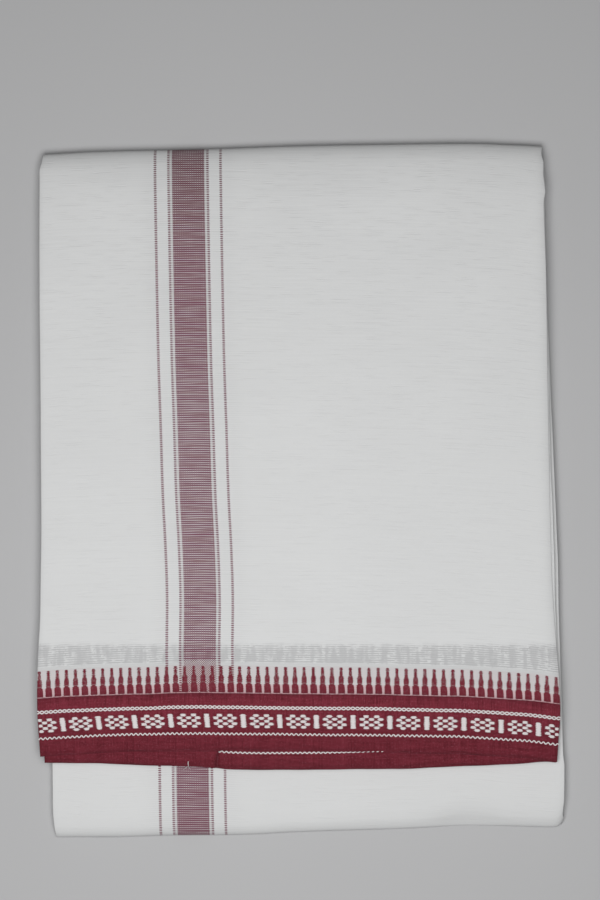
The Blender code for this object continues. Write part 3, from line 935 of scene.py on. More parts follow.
@dataclass
class HiddenLayers:
    """Every hidden layer: the folds at the sides, the selvedges at the front and the stack."""

    folds: int = 7
    leg: float = 8.0
    leg_middle: float = 3.0
    fold_height: float = 0.40
    lean: float = 0.62
    least_inset: float = 0.25
    leaf_depth: float = 22.0
    stack_columns: int = 24
    vertices: list[tuple[float, float, float]] = field(default_factory=list)
    faces: list[tuple[int, ...]] = field(default_factory=list)
    cloth: list[tuple[float, float]] = field(default_factory=list)

    def side_place(self, side: Side, y: float, turn: float, fold: int, seed: float) -> float:
        """Place of a hidden layer's side fold.

        Args:
            side: left or right.
            y: place up the packet.
            turn: 0 on the flap, 1 on the lower half.
            fold: which fold, counted from the outermost.
            seed: how this fold wanders.

        Returns:
            The x of the fold's nose.
        """
        inset = FOLD_INSET + 0.30 * math.sin(fold * 2.4 + side.value) + 0.38 * ripple(y, seed)
        inset = max(inset, self.least_inset)
        if side is Side.LEFT:
            return PACKET.side(side, y, turn) + inset
        lean = self.lean * smooth_step(-104.0, -62.0, y) - 0.12 * (1.0 - turn)
        lower = PACKET.lower_right.at(y)
        return mix(mix(PACKET.flap_right.at(y), lower, lean), lower, turn) - inset

    def close_strip(self, rings: list[list[tuple]], flip: bool = False) -> None:
        """Add a closed form swept through rings of points.

        Args:
            rings: each ring's points in mm, each with its place on the flat cloth.
            flip: whether the rings are to run the other way round.
        """
        start = len(self.vertices)
        count = len(rings[0])
        for ring in rings:
            for point, place in reversed(ring) if flip else ring:
                self.vertices.append(point)
                self.cloth.append(place)
        for index in range(len(rings) - 1):
            for point in range(count):
                after = (point + 1) % count
                low = start + index * count
                self.faces.append((low + point, low + after, low + count + after, low + count + point))
        self.faces.append(tuple(start + point for point in reversed(range(count))))
        last = start + (len(rings) - 1) * count
        self.faces.append(tuple(last + point for point in range(count)))

    def section(self) -> list[tuple[float, float]]:
        """Rounded section of a fold, as distance inwards and share of its depth."""
        steps = 5
        nose = self.fold_height / 2.0
        points = [(self.leg, 0.02)]
        for step in range(steps + 1):
            turn = math.pi * step / steps
            points.append((nose - nose * math.sin(turn), 0.5 - 0.48 * math.cos(turn)))
        points.append((self.leg, 0.98))
        return points

    def add_side_fold(self, side: Side, fold: int) -> None:
        """Add one hidden side fold, all the way from selvedge to selvedge."""
        seed = 11.0 + fold * 1.37 + side.value
        stations = stations_of({
            Stretch.FLAP: 52, Stretch.TOP_FOLD: 12, Stretch.UNDERSIDE: 44,
            Stretch.BOTTOM_FOLD: 10, Stretch.LOWER_FRONT: 48, Stretch.POCKET: 7,
            Stretch.INNER_FLAP: 48,
        })
        rings = []
        travelled, before = 0.0, None
        for index, (stretch, share) in enumerate(stations):
            turn = TURN_OF[stretch](share)
            middle = LayerPath((fold + 0.5) / self.folds)
            level = middle.place(stretch, share, 0.0)[0]
            nose = self.side_place(side, level, turn, fold, seed)
            swell = min(1.0, 0.35 + min(index, len(stations) - 1 - index) * 0.65)
            ring = []
            for inward, part in self.section():
                x = nose - side.value * inward
                layer = LayerPath((fold + mix(0.5, part, swell)) / self.folds)
                y, z = layer.place(stretch, share, x)
                ring.append((x, y, z))
            here = Vector(ring[len(ring) // 2])
            travelled += (here - (before or here)).length
            before = here
            edge = min(travelled, abs(CLOTH_WIDTH - travelled))
            rings.append([
                (point, (PACKET.along_of(point[0] + self.leg_middle), edge)) for point in ring
            ])
        self.close_strip(rings, side is Side.LEFT)

    def add_leaf(self, stretch: Stretch, fold: int) -> None:
        """Add the selvedge of one hidden layer, between the side folds at the flap's front."""
        steps = 60
        seed = 23.0 + fold * 1.9 + (0.7 if stretch is Stretch.FLAP else 0.0)
        rings = []
        level = PACKET.second_selvedge.at(0.0)
        left = self.side_place(Side.LEFT, level, 0.0, fold, seed) + self.leg - 0.6
        right = self.side_place(Side.RIGHT, level, 0.0, fold, seed) - self.leg + 0.6
        section = (
            (self.leaf_depth, 0.02), (0.25, 0.02), (0.06, 0.2), (0.0, 0.5),
            (0.06, 0.8), (0.25, 0.98), (self.leaf_depth, 0.98),
        )
        for step in range(steps + 1):
            x = mix(left, right, step / steps)
            edge = PACKET.second_selvedge.at(x) + HIDDEN_EDGE + 0.3 * ripple(x, seed)
            ring = []
            for inward, part in section:
                layer = LayerPath((fold + part) / self.folds)
                y = edge + inward
                high = layer.flap(x, y) if stretch is Stretch.FLAP else layer.inner_flap(x, y)
                ring.append(((x, y, high), (PACKET.along_of(x), inward)))
            rings.append(ring)
        self.close_strip(rings, stretch is Stretch.INNER_FLAP)

    def add_stack(self) -> None:
        """Add the middle of the stack as one closed form, clear of the folds and selvedges."""
        layer = LayerPath(0.0)
        outer = stations_of({Stretch.FLAP: 14, Stretch.TOP_FOLD: 12, Stretch.UNDERSIDE: 14})
        clear = self.leg + 1.0
        shares = [step / self.stack_columns for step in range(self.stack_columns + 1)]
        rings = []
        for place, outside in enumerate(outer):
            ring = []
            inside = INSIDE_OF[outside[0]], 1.0 - outside[1]
            turn = TURN_OF[outside[0]](outside[1])
            level = layer.place(*outside, 0.0)[0]
            left = PACKET.side(Side.LEFT, level, turn) + clear
            right = PACKET.side(Side.RIGHT, level, turn) - clear - 1.0
            ways = [(outside, share) for share in shares] + [(inside, 1.0 - share) for share in shares]
            for (stretch, share), across in ways:
                x = mix(left, right, across)
                y, z = layer.place(stretch, share, x)
                if place == 0:
                    y = y + self.leaf_depth + 1.0
                flat = PACKET.along_of(x), 60.0 + 20.0 * place
                ring.append(((x, y, z), flat))
            rings.append(ring)
        self.close_strip(rings)

    def build(self) -> Object:
        """Make the hidden layers as one piece.

        Returns:
            The new object.
        """
        for fold in range(self.folds):
            for side in Side:
                self.add_side_fold(side, fold)
            for stretch in (Stretch.FLAP, Stretch.INNER_FLAP):
                self.add_leaf(stretch, fold)
        self.add_stack()
        mesh = bpy.data.meshes.new("hidden_layers")
        mesh.from_pydata([tuple(c * MM for c in vertex) for vertex in self.vertices], [], self.faces)
        add_map(mesh, CLOTH_MAP, np.array(self.cloth)[corner_vertices(mesh)] * MM)
        edit = bmesh.new()
        edit.from_mesh(mesh)
        bmesh.ops.recalc_face_normals(edit, faces=edit.faces[:])
        edit.to_mesh(mesh)
        edit.free()
        mesh.shade_smooth()
        mesh.set_sharp_from_angle(angle=math.radians(50.0))
        return in_scene("hidden_layers", mesh)


# ---- Nodes ----


def label_of(key: str) -> str:
    """Name of the socket that a keyword stands for."""
    return key.replace("_", " ").title()


class NodeBench:
    """Adds and joins nodes in one tree."""

    def __init__(self, tree: NodeTree) -> None:
        """Work in a tree."""
        self.tree = tree

    def node(self, kind: str, inputs: dict | None = None, **settings: object) -> Node:
        """Add a node, with its settings and its inputs' values or links."""
        made = self.tree.nodes.new(kind)
        for key, value in settings.items():
            setattr(made, key, value)
        for key, value in (inputs or {}).items():
            self.put(value, made.inputs[key])
        return made

    def put(self, value: Socket, socket: Output) -> None:
        """Link a socket's output to an input, or give the input a plain value."""
        if isinstance(value, NodeSocket):
            self.tree.links.new(value, socket)
        else:
            socket.default_value = value

    def math(self, operation: str, *values: Socket, clamp: bool = False) -> Output:
        """Add a math node and give its result."""
        inputs = dict(enumerate(values))
        return self.node("ShaderNodeMath", inputs, operation=operation, use_clamp=clamp).outputs[0]

    def chain(self, operation: str, values: Sequence[Socket]) -> Output:
        """Take an operation through several values, from the first to the last."""
        total = values[0]
        for value in values[1:]:
            total = self.math(operation, total, value)
        return total

    def add(self, *values: Socket) -> Output:
        """Sum of several values."""
        return self.chain("ADD", values)

    def times(self, *values: Socket) -> Output:
        """Product of several values."""
        return self.chain("MULTIPLY", values)

    def most(self, *values: Socket) -> Output:
        """Greatest of several values."""
        return self.chain("MAXIMUM", values)

    def minus(self, first: Socket, second: Socket) -> Output:
        """Difference of two values."""
        return self.math("SUBTRACT", first, second)

    def join(self, x: Socket, y: Socket, z: Socket = 0.0) -> Output:
        """Vector of three parts."""
        return self.node("ShaderNodeCombineXYZ", {"X": x, "Y": y, "Z": z}).outputs[0]


# ---- Threads, made with Geometry Nodes ----


class GeometryTree(NodeBench):
    """A Geometry Nodes tree with named inputs, run on a source object to make a plain mesh."""

    def __init__(self, name: str, inputs: dict[str, float | int]) -> None:
        """Start the tree.

        Args:
            name: name of the tree.
            inputs: each input's name and first value, a float or a whole number.
        """
        super().__init__(bpy.data.node_groups.new(name, "GeometryNodeTree"))
        face = self.tree.interface
        face.new_socket(name="Geometry", in_out="INPUT", socket_type="NodeSocketGeometry")
        for label, value in {**inputs, "Scale": MM}.items():
            kind = "NodeSocketInt" if isinstance(value, int) else "NodeSocketFloat"
            socket = face.new_socket(name=label, in_out="INPUT", socket_type=kind)
            socket.default_value = value
        face.new_socket(name="Material", in_out="INPUT", socket_type="NodeSocketMaterial")
        face.new_socket(name="Geometry", in_out="OUTPUT", socket_type="NodeSocketGeometry")
        self.given = self.tree.nodes.new("NodeGroupInput").outputs
        self.result = self.tree.nodes.new("NodeGroupOutput").inputs

    def attribute(self, name: str, kind: str = "FLOAT") -> Output:
        """Read an attribute that the source's points carry."""
        made = self.node("GeometryNodeInputNamedAttribute", {"Name": name}, data_type=kind)
        return made.outputs["Attribute"]

    def finish(self, shape: Output) -> None:
        """End the tree in smooth faces, realised instances and the material."""
        smooth = self.node("GeometryNodeSetShadeSmooth", {"Geometry": shape}).outputs[0]
        real = self.node("GeometryNodeRealizeInstances", {"Geometry": smooth}).outputs[0]
        material = {"Geometry": real, "Material": self.given["Material"]}
        self.put(self.node("GeometryNodeSetMaterial", material).outputs[0], self.result["Geometry"])

    def run(
        self, source: Object, material: Material, **values: float | int
    ) -> Mesh:
        """Run the tree on a source object, which is removed.

        Args:
            source: object whose mesh goes in.
            material: material of the result.
            values: the inputs' values by name.

        Returns:
            The plain mesh.
        """
        chosen = {label_of(key): value for key, value in values.items()}
        chosen["Material"] = material
        modifier = source.modifiers.new("made", "NODES")
        modifier.node_group = self.tree
        for item in self.tree.interface.items_tree:
            if item.in_out == "INPUT" and item.name in chosen:
                modifier[item.identifier] = chosen[item.name]
        bpy.context.view_layer.update()
        depsgraph = bpy.context.evaluated_depsgraph_get()
        mesh = bpy.data.meshes.new_from_object(source.evaluated_get(depsgraph))
        bpy.data.objects.remove(source)
        mesh.materials.clear()
        mesh.materials.append(material)
        return mesh


def source_object(
    points: Sequence[tuple], attributes: dict[str, Sequence], lines: bool
) -> Object:
    """Make the source of a Geometry Nodes tree.

    Args:
        points: its points in mm.
        attributes: a float or a vector for each point, by name.
        lines: whether each point is joined to the next.

    Returns:
        The new object.
    """
    mesh = bpy.data.meshes.new("source")
    edges = [(index, index + 1) for index in range(len(points) - 1)] if lines else []
    mesh.from_pydata([tuple(float(c) * MM for c in point) for point in points], edges, [])
    for label, values in attributes.items():
        vectors = np.ndim(values) == 2
        kind = "FLOAT_VECTOR" if vectors else "FLOAT"
        made = mesh.attributes.new(label, kind, "POINT")
        flat = np.array(values, dtype=np.float32).ravel()
        made.data.foreach_set("vector" if vectors else "value", flat)
    return in_scene("source", mesh)


def waving_thread_tree() -> GeometryTree:
    """Tree that lays a thread of even thickness in waves along a line."""
    made = GeometryTree(
        "waving_thread",
        {"Wave Height": 0.3, "Wave Length": 2.2, "Phase": 0.0, "Thread Radius": 0.2, "Lift": 0.1},
    )
    given = made.given
    scale = given["Scale"]
    turn = made.math("DIVIDE", made.attribute("along"), given["Wave Length"])
    turn = made.add(made.times(turn, math.tau), given["Phase"])
    sway = made.times(made.math("SINE", turn), given["Wave Height"], made.attribute("swell"), scale)
    rise = made.times(made.math("COSINE", turn), given["Lift"], scale)
    moved = made.node(
        "GeometryNodeSetPosition",
        {"Geometry": given["Geometry"], "Offset": made.join(0.0, sway, rise)},
    )
    line = made.node("GeometryNodeMeshToCurve", {"Mesh": moved.outputs[0]})
    ring = made.node(
        "GeometryNodeCurvePrimitiveCircle",
        {"Resolution": 7, "Radius": made.times(given["Thread Radius"], scale)},
    )
    tube = made.node(
        "GeometryNodeCurveToMesh",
        {"Curve": line.outputs[0], "Profile Curve": ring.outputs[0], "Fill Caps": True},
    )
    made.finish(tube.outputs[0])
    return made


def float_tree() -> GeometryTree:
    """Tree that lays a short plump float of thread at every point."""
    made = GeometryTree(
        "thread_floats", {"Thickness": 0.45, "Height": 0.3, "Spread": 0.08, "Seed": 5}
    )
    given = made.given
    scale, spread = given["Scale"], given["Spread"]
    bead = made.node("GeometryNodeMeshUVSphere", {"Segments": 8, "Rings": 5, "Radius": 0.5})
    vary = made.node(
        "FunctionNodeRandomValue",
        {2: made.minus(1.0, spread), 3: made.add(1.0, spread), "Seed": given["Seed"]},
        data_type="FLOAT",
    )
    size = made.join(
        made.times(made.attribute("float_length"), vary.outputs[1], scale),
        made.times(given["Thickness"], scale), made.times(given["Height"], scale),
    )
    turn = made.node("FunctionNodeEulerToRotation", {"Euler": made.attribute("turn", "FLOAT_VECTOR")})
    placed = made.node(
        "GeometryNodeInstanceOnPoints",
        {"Points": given["Geometry"], "Instance": bead.outputs["Mesh"],
         "Rotation": turn.outputs[0], "Scale": size},
    )
    made.finish(placed.outputs[0])
    return made


@dataclass(frozen=True)
class Wave:
    """Shape of the threads that wave along a line, one for each phase."""

    height: float
    radius: float = 0.32
    lift: float = 0.05
    periods: float = 1.0
    phases: tuple[float, ...] = (0.0,)


@dataclass
class FigureThreads:
    """White figuring threads of the border: waves, chain, flowers and bars."""

    material: Material
    wavy: Wave = Wave(0.44)
    second_wavy: Wave = Wave(0.34, phases=(1.0,))
    chained: Wave = Wave(0.62, radius=0.34, lift=0.12, periods=2.0, phases=(0.0, math.pi))
    samples_per_wave: int = 9
    proud: float = 0.06
    lozenge: float = 3.4
    lozenge_rows: float = 1.36
    bar_steps: int = 6
    bar_rows: float = 1.06
    from_fold: float = 0.1
    shortest: float = 0.8

    def samples(self, start: float, end: float) -> np.ndarray:
        """Places along the cloth from start to end, close enough for smooth waves."""
        return np.linspace(start, end, int((end - start) / WAVE_PERIOD * self.samples_per_wave))

    def ends(self, level: float) -> tuple[float, float]:
        """Where a level of the pattern meets the flap's side folds, along the cloth."""
        y = PACKET.selvedge(0.0) + level
        left = PACKET.along_of(PACKET.flap_left.at(y) + 0.15)
        return left, PACKET.along_of(PACKET.flap_right.at(y) - 0.15)

    def line(self, level: float) -> tuple[list, np.ndarray]:
        """Points of a level of the pattern on the flap, and their places along the cloth."""
        along = self.samples(*self.ends(level))
        x = PACKET.across_of(along)
        y = PACKET.selvedge(x) + PACKET.rise_of(level, x)
        return list(zip(x, y, PACKET.flap_top(x, y) + self.proud)), along

    def waving(
        self, tree: GeometryTree, name: str, wave: Wave, line: tuple[list, np.ndarray],
        swell: Numbers = 1.0,
    ) -> Object:
        """Make a piece of threads that wave along a line.

        Args:
            tree: tree that makes each thread.
            name: name of the piece.
            wave: shape of its threads.
            line: points in mm and their places along the cloth.
            swell: share of the full wave, the same all along or for each point.

        Returns:
            The piece.
        """
        points, along = line
        marks = {"along": along, "swell": swell + 0.0 * along}
        threads = [
            tree.run(
                source_object(points, marks, True), self.material, wave_height=wave.height,
                wave_length=wave.periods * WAVE_PERIOD, phase=phase, thread_radius=wave.radius,
                lift=wave.lift,
            )
            for phase in wave.phases
        ]
        return self.placed(name, threads)

    def waves(self, tree: GeometryTree) -> Object:
        """Make the wavy line on the flap."""
        return self.waving(tree, "wavy_line", self.wavy, self.line(WAVY_LEVEL))

    def second_wave(self, tree: GeometryTree) -> Object:
        """Make the second layer's wavy line, which shows below the flap and dies away."""
        start = PACKET.along_of(CUT_END_X + 0.9)
        along = self.samples(start, PACKET.along_of(SECOND_WAVE_END))
        x = PACKET.across_of(along)
        rise = WAVY_LEVEL - 0.58 + 0.16 * smooth_step(-25.0, -5.0, x) + 0.34 * smooth_step(0.0, 45.0, x)
        y = PACKET.second_selvedge.at(x) + rise
        line = list(zip(x, y, PACKET.second_top(x) + self.proud)), along
        swell = 1.0 - 0.75 * smooth_step(10.0, 34.0, x)
        return self.waving(tree, "second_wavy_line", self.second_wavy, line, swell)

    def chain(self, tree: GeometryTree) -> Object:
        """Make the chain of two threads that cross at every link."""
        return self.waving(tree, "chain_line", self.chained, self.line(CHAIN_LEVEL))

    def placed(self, name: str, meshes: list[Mesh], material: Material | None = None) -> Object:
        """Join meshes into one piece, of the figuring yarn or of a given material."""
        edit = bmesh.new()
        for mesh in meshes:
            edit.from_mesh(mesh)
            bpy.data.meshes.remove(mesh)
        joined = bpy.data.meshes.new(name)
        bmesh.ops.recalc_face_normals(edit, faces=edit.faces[:])
        edit.to_mesh(joined)
        edit.free()
        joined.shade_smooth()
        joined.materials.append(material or self.material)
        return in_scene(name, joined)

    def floats(
        self, tree: GeometryTree, material: Material, rows: list[tuple], **values: float
    ) -> Mesh:
        """Lay short floats of thread.

        Args:
            tree: tree that makes them.
            material: yarn that they are made of.
            rows: each float's place in mm, its length and its turn.
            values: the tree's inputs by name.

        Returns:
            The floats' mesh.
        """
        points, lengths, turns = zip(*rows)
        marks = {"float_length": lengths, "turn": [(0.0, 0.0, turn) for turn in turns]}
        return tree.run(source_object(points, marks, False), material, **values)

    def lozenge_places(self) -> list[tuple[float, float, float]]:
        """Lozenges of every flower and bar, as place along, level and length."""
        places = []
        start, end = self.ends(MOTIF_LEVEL)
        for index in MOTIFS:
            flower = MOTIF_START + MOTIF_PERIOD * (index + 0.5)
            for row, offsets in enumerate(FLOWER_ROWS):
                level = MOTIF_LEVEL + (row - len(FLOWER_ROWS) // 2) * self.lozenge_rows
                places += [(flower + offset, level, self.lozenge) for offset in offsets]
            bar = MOTIF_START + MOTIF_PERIOD * index
            for step in range(self.bar_steps):
                height = (step - (self.bar_steps - 1) / 2.0) * self.bar_rows
                places.append((bar, MOTIF_LEVEL + height, BAR_WIDTH))
        trimmed = []
        for along, level, length in places:
            low = max(along - length / 2.0, start + self.from_fold)
            high = min(along + length / 2.0, end - self.from_fold)
            if high - low > self.shortest:
                trimmed.append(((low + high) / 2.0, level, high - low))
        return trimmed

    def motifs(self, tree: GeometryTree) -> Object:
        """Make the flowers and bars from short floats of thread, three to a lozenge."""
        rows = []
        for along, level, length in self.lozenge_places():
            bar = length == BAR_WIDTH
            pitch = 0.35 if bar else 0.42
            skew = mix(0.15, 0.0, smooth_step(-115.0, 70.0, PACKET.across_of(along)))
            for step, part in ((-1, 0.84), (0, 1.0), (1, 0.84)):
                here = along - skew * (level - MOTIF_LEVEL + 0.4 * step)
                x = PACKET.across_of(here)
                rise = PACKET.rise_of(level + pitch * step, x)
                y = PACKET.selvedge(x) + rise
                slope = (PACKET.selvedge(x + 1.0) - PACKET.selvedge(x - 1.0)) / 2.0
                ragged = 0.10 * math.sin(11.0 * along + 7.3 * level + 2.1 * step)
                long = length * ((0.95 if bar else part) + ragged)
                rows.append(((x, y, PACKET.flap_top(x, y) + 0.03), long, math.atan(slope)))
        floats = self.floats(
            tree, self.material, rows, thickness=0.60, height=0.50, spread=0.07, seed=5
        )
        return self.placed("flower_and_bar_floats", [floats])

    def fringe(self, tree: GeometryTree, material: Material) -> Object:
        """Make the thread ends that stand out of the cut end."""
        rows = []
        for step in range(15):
            y = PACKET.turned_selvedge.at(CUT_END_X) + 0.4 + 0.55 * step
            long = 1.0 + 0.5 * math.sin(step * 2.2)
            place = CUT_END_X + 0.25, y, SECOND_TOP - 0.22
            rows.append((place, long, 0.4 * math.sin(step * 3.7)))
        ends = self.floats(tree, material, rows, thickness=0.18, height=0.18, spread=0.2, seed=9)
        return self.placed("cut_end_fringe", [ends], material)

    def loose_thread(self) -> Object:
        """Make the forked thread end that hangs from the turned end's selvedge."""
        edit = bmesh.new()
        for branch in LOOSE_THREAD:
            self.tube(edit, [Vector(point) for point in branch], 0.20)
        mesh = bpy.data.meshes.new("loose_thread")
        edit.to_mesh(mesh)
        edit.free()
        return self.placed("loose_thread", [mesh])

    def tube(self, edit: bmesh.types.BMesh, points: list[Vector], radius: float) -> None:
        """Sweep a thin closed tube along a few points, made smooth by a spline."""
        steps, corners = 5, 6
        smooth = []
        for index in range(len(points) - 1):
            before = points[max(index - 1, 0)]
            after = points[min(index + 2, len(points) - 1)]
            start, end = points[index], points[index + 1]
            leave, arrive = (end - before) * 0.5, (after - start) * 0.5
            for step in range(steps):
                share = step / steps
                square, cube = share**2, share**3
                ends = start * (2 * cube - 3 * square + 1) + leave * (cube - 2 * square + share)
                smooth.append(ends + end * (3 * square - 2 * cube) + arrive * (cube - square))
        smooth.append(points[-1])
        rings = []
        for index, point in enumerate(smooth):
            way = smooth[min(index + 1, len(smooth) - 1)] - smooth[max(index - 1, 0)]
            across = way.cross(Vector((0.31, 0.17, 0.94))).normalized()
            over = way.cross(across).normalized()
            thin = radius * (1.0 - 0.5 * index / len(smooth))
            ring = []
            for corner in range(corners):
                turn = math.tau * corner / corners
                out = across * math.cos(turn) + over * math.sin(turn)
                ring.append(edit.verts.new((point + out * thin) * MM))
            rings.append(ring)
        for first, second in zip(rings, rings[1:]):
            for corner in range(corners):
                after = (corner + 1) % corners
                edit.faces.new((first[corner], first[after], second[after], second[corner]))
        edit.faces.new(rings[0][::-1])
        edit.faces.new(rings[-1])


# ---- Finishes ----


class ShaderBench(NodeBench):
    """Adds and joins shader nodes in one tree."""

    def ramp(
        self, value: Socket, low: float, high: float, start: float = 0.0, end: float = 1.0
    ) -> Output:
        """Smooth change from start at low to end at high."""
        made = self.node(
            "ShaderNodeMapRange",
            {"Value": value, "From Min": low, "From Max": high, "To Min": start, "To Max": end},
            interpolation_type="SMOOTHSTEP",
        )
        return made.outputs[0]

    def window(self, value: Socket, low: float, high: float, soft: float) -> Output:
        """Mask that is 1 between low and high, with soft edges."""
        rise = self.ramp(value, low - soft, low + soft)
        fall = self.ramp(value, high - soft, high + soft, 1.0, 0.0)
        return self.times(rise, fall)

    def split(self, vector: Socket) -> tuple[Output, Output]:
        """First two parts of a vector."""
        made = self.node("ShaderNodeSeparateXYZ", {"Vector": vector})
        return made.outputs[0], made.outputs[1]

    def noise(self, vector: Socket, scale: float, detail: float = 2.0, rough: float = 0.5) -> Output:
        """Noise between 0 and 1 at a place."""
        made = self.node(
            "ShaderNodeTexNoise",
            {"Vector": vector, "Scale": scale, "Detail": detail, "Roughness": rough},
            noise_dimensions="3D",
        )
        return made.outputs[0]

    def threads(
        self, along: tuple[Socket, float], level: tuple[Socket, float], shift: float = 0.0,
        detail: float = 2.0, rough: float = 0.5,
    ) -> Output:
        """Noise on the cloth, drawn out along it or up it.

        Args:
            along: place along the cloth, and how quickly the noise changes that way.
            level: place up the cloth, and how quickly the noise changes that way.
            shift: where in the noise to look, so that no two are alike.
            detail: how many finer layers it has.
            rough: how strong they are.

        Returns:
            The noise, between 0 and 1.
        """
        place = self.join(self.times(*along), self.times(*level), shift)
        return self.noise(place, 1.0, detail, rough)

    def scatter(self, x: Socket, y: Socket, z: float) -> Output:
        """Random value between 0 and 1 for each whole place."""
        vector = {"Vector": self.join(x, y, z)}
        return self.node("ShaderNodeTexWhiteNoise", vector, noise_dimensions="3D").outputs[0]

    def swing(self, value: Socket, amount: Socket) -> Output:
        """Make a value between 0 and 1 swing to both sides of zero."""
        return self.times(self.minus(value, 0.5), amount)

    def weigh(self, start: float, *parts: tuple[Socket, Socket]) -> Output:
        """Sum of a start and of each value times its weight."""
        return self.add(start, *(self.times(*part) for part in parts))

    def picks(self, level: Socket) -> Output:
        """Wave between -1 and 1 that follows the weft threads up the cloth."""
        return self.math("SINE", self.times(level, math.pi / THREAD_PITCH))

    def blend(self, share: Socket, first: Socket, second: Socket) -> Output:
        """Colour at a share of the way from the first to the second."""
        inputs = {0: share, 6: first, 7: second}
        return self.node("ShaderNodeMix", inputs, data_type="RGBA", clamp_factor=True).outputs[2]

    def between(self, share: Socket, first: Socket, second: Socket) -> Output:
        """Value at a share of the way from the first to the second."""
        inputs = {0: share, 2: first, 3: second}
        return self.node("ShaderNodeMix", inputs, data_type="FLOAT", clamp_factor=True).outputs[0]

    def group(self, tree: NodeTree, **inputs: Socket) -> dict[str, Output]:
        """Place a node group and give its outputs by name."""
        made = self.node("ShaderNodeGroup", node_tree=tree)
        for key, value in inputs.items():
            self.put(value, made.inputs[label_of(key)])
        return {output.name: output for output in made.outputs}


class EffectGroup(ShaderBench):
    """A shader node group with named inputs and outputs, the first the place on the cloth."""

    def __init__(self, name: str, inputs: dict[str, float], outputs: Sequence[str]) -> None:
        """Start the group.

        Args:
            name: name of the group.
            inputs: each further input's name and first value.
            outputs: names of the values that it gives.
        """
        super().__init__(bpy.data.node_groups.new(name, "ShaderNodeTree"))
        face = self.tree.interface
        face.new_socket(name="Place", in_out="INPUT", socket_type="NodeSocketVector")
        for label, value in inputs.items():
            socket = face.new_socket(name=label, in_out="INPUT", socket_type="NodeSocketFloat")
            socket.default_value = value
        for label in outputs:
            face.new_socket(name=label, in_out="OUTPUT", socket_type="NodeSocketFloat")
        self.given = self.tree.nodes.new("NodeGroupInput").outputs
        self.result = self.tree.nodes.new("NodeGroupOutput").inputs
        self.place = self.split(self.given["Place"])

    def give(self, **values: Socket) -> NodeTree:
        """Join values to the outputs and end the group."""
        for key, value in values.items():
            self.put(value, self.result[label_of(key)])
        return self.tree


def weave_group() -> NodeTree:
    """Plain weave: which thread is on top, and how high it stands."""
    outputs = "Warp On Top", "Dot", "Height", "Rung"
    made = EffectGroup("plain_weave", {"Pitch": THREAD_PITCH}, outputs)
    along, level = made.place
    wander = made.threads((along, 0.05), (level, 0.4), detail=1.0)
    level = made.add(level, made.swing(wander, 0.5))
    pitch = made.given["Pitch"]
    across = made.math("SINE", made.times(made.math("DIVIDE", along, pitch), math.pi))
    up = made.math("SINE", made.times(made.math("DIVIDE", level, pitch), math.pi))
    crossing = made.times(across, up)
    on_top = made.ramp(crossing, -0.08, 0.08)
    dot = made.ramp(crossing, 0.22, 0.38)
    height = made.math("SQRT", made.math("ABSOLUTE", crossing))
    return made.give(warp_on_top=on_top, dot=dot, height=height, rung=up)


def slub_group() -> NodeTree:
    """Uneven handloom yarn: thick and thin picks along the cloth, thick slubs with a painted highlight
    on each and a painted shadow line just below it, and soft clouds.
    """
    made = EffectGroup("slub_yarn", {"Amount": 1.0}, ("Pick", "Slub", "Cloud"))
    along, level = made.place
    picks = made.threads((along, 0.022), (level, 1.05), rough=0.6)
    rare = made.threads((along, 0.05), (level, 0.08), 9.0, 1.0)
    # Each slub and a copy of it 0.5 mm lower in level: their difference paints a highlight on the thick
    # yarn and a shadow line just below it.
    slub_and_shadow = []
    for shift in (0.0, 0.50):
        slubs = made.threads((along, 0.085), (made.add(level, shift), 1.8), 4.0, 0.0)
        slub_and_shadow.append(made.ramp(slubs, 0.66, 0.76))
    slub = made.times(made.minus(slub_and_shadow[0], slub_and_shadow[1]), made.ramp(rare, 0.28, 0.50, 0.3, 1.0))
    cloud = made.threads((along, 0.02), (level, 0.03), 2.0, 3.0)
    amount = made.given["Amount"]
    return made.give(
        pick=made.swing(picks, amount), slub=made.times(slub, amount),
        cloud=made.swing(cloud, amount),
    )


def stripe_group() -> NodeTree:
    """The maroon weft stripe: broad band, two white cords and four thin lines."""
    outputs = "Band", "Uneven", "Cord", "Line", "Beside"
    made = EffectGroup("weft_stripe", {"Centre": STRIPE_CENTRE}, outputs)
    along, level = made.place
    offset = made.minus(along, made.given["Centre"])
    away = made.math("ABSOLUTE", offset)
    uneven = made.threads((along, 0.06), (level, 0.95), 6.0, rough=0.65)
    cords = [made.window(offset, *edges, 0.12) for edges in STRIPE_CORDS]
    shaken = made.add(offset, made.times(made.ramp(made.picks(level), -0.3, 0.3, -0.5, 0.5), 0.40))
    lines = [
        made.window(shaken, centre - half, centre + half, 0.14) for centre, half in STRIPE_LINES
    ]
    return made.give(
        band=made.window(offset, *STRIPE_BAND, 0.16), uneven=made.ramp(uneven, 0.30, 0.70),
        cord=made.add(*cords), line=made.add(*lines), beside=made.ramp(away, 16.0, 26.0, 1.0, 0.0),
    )


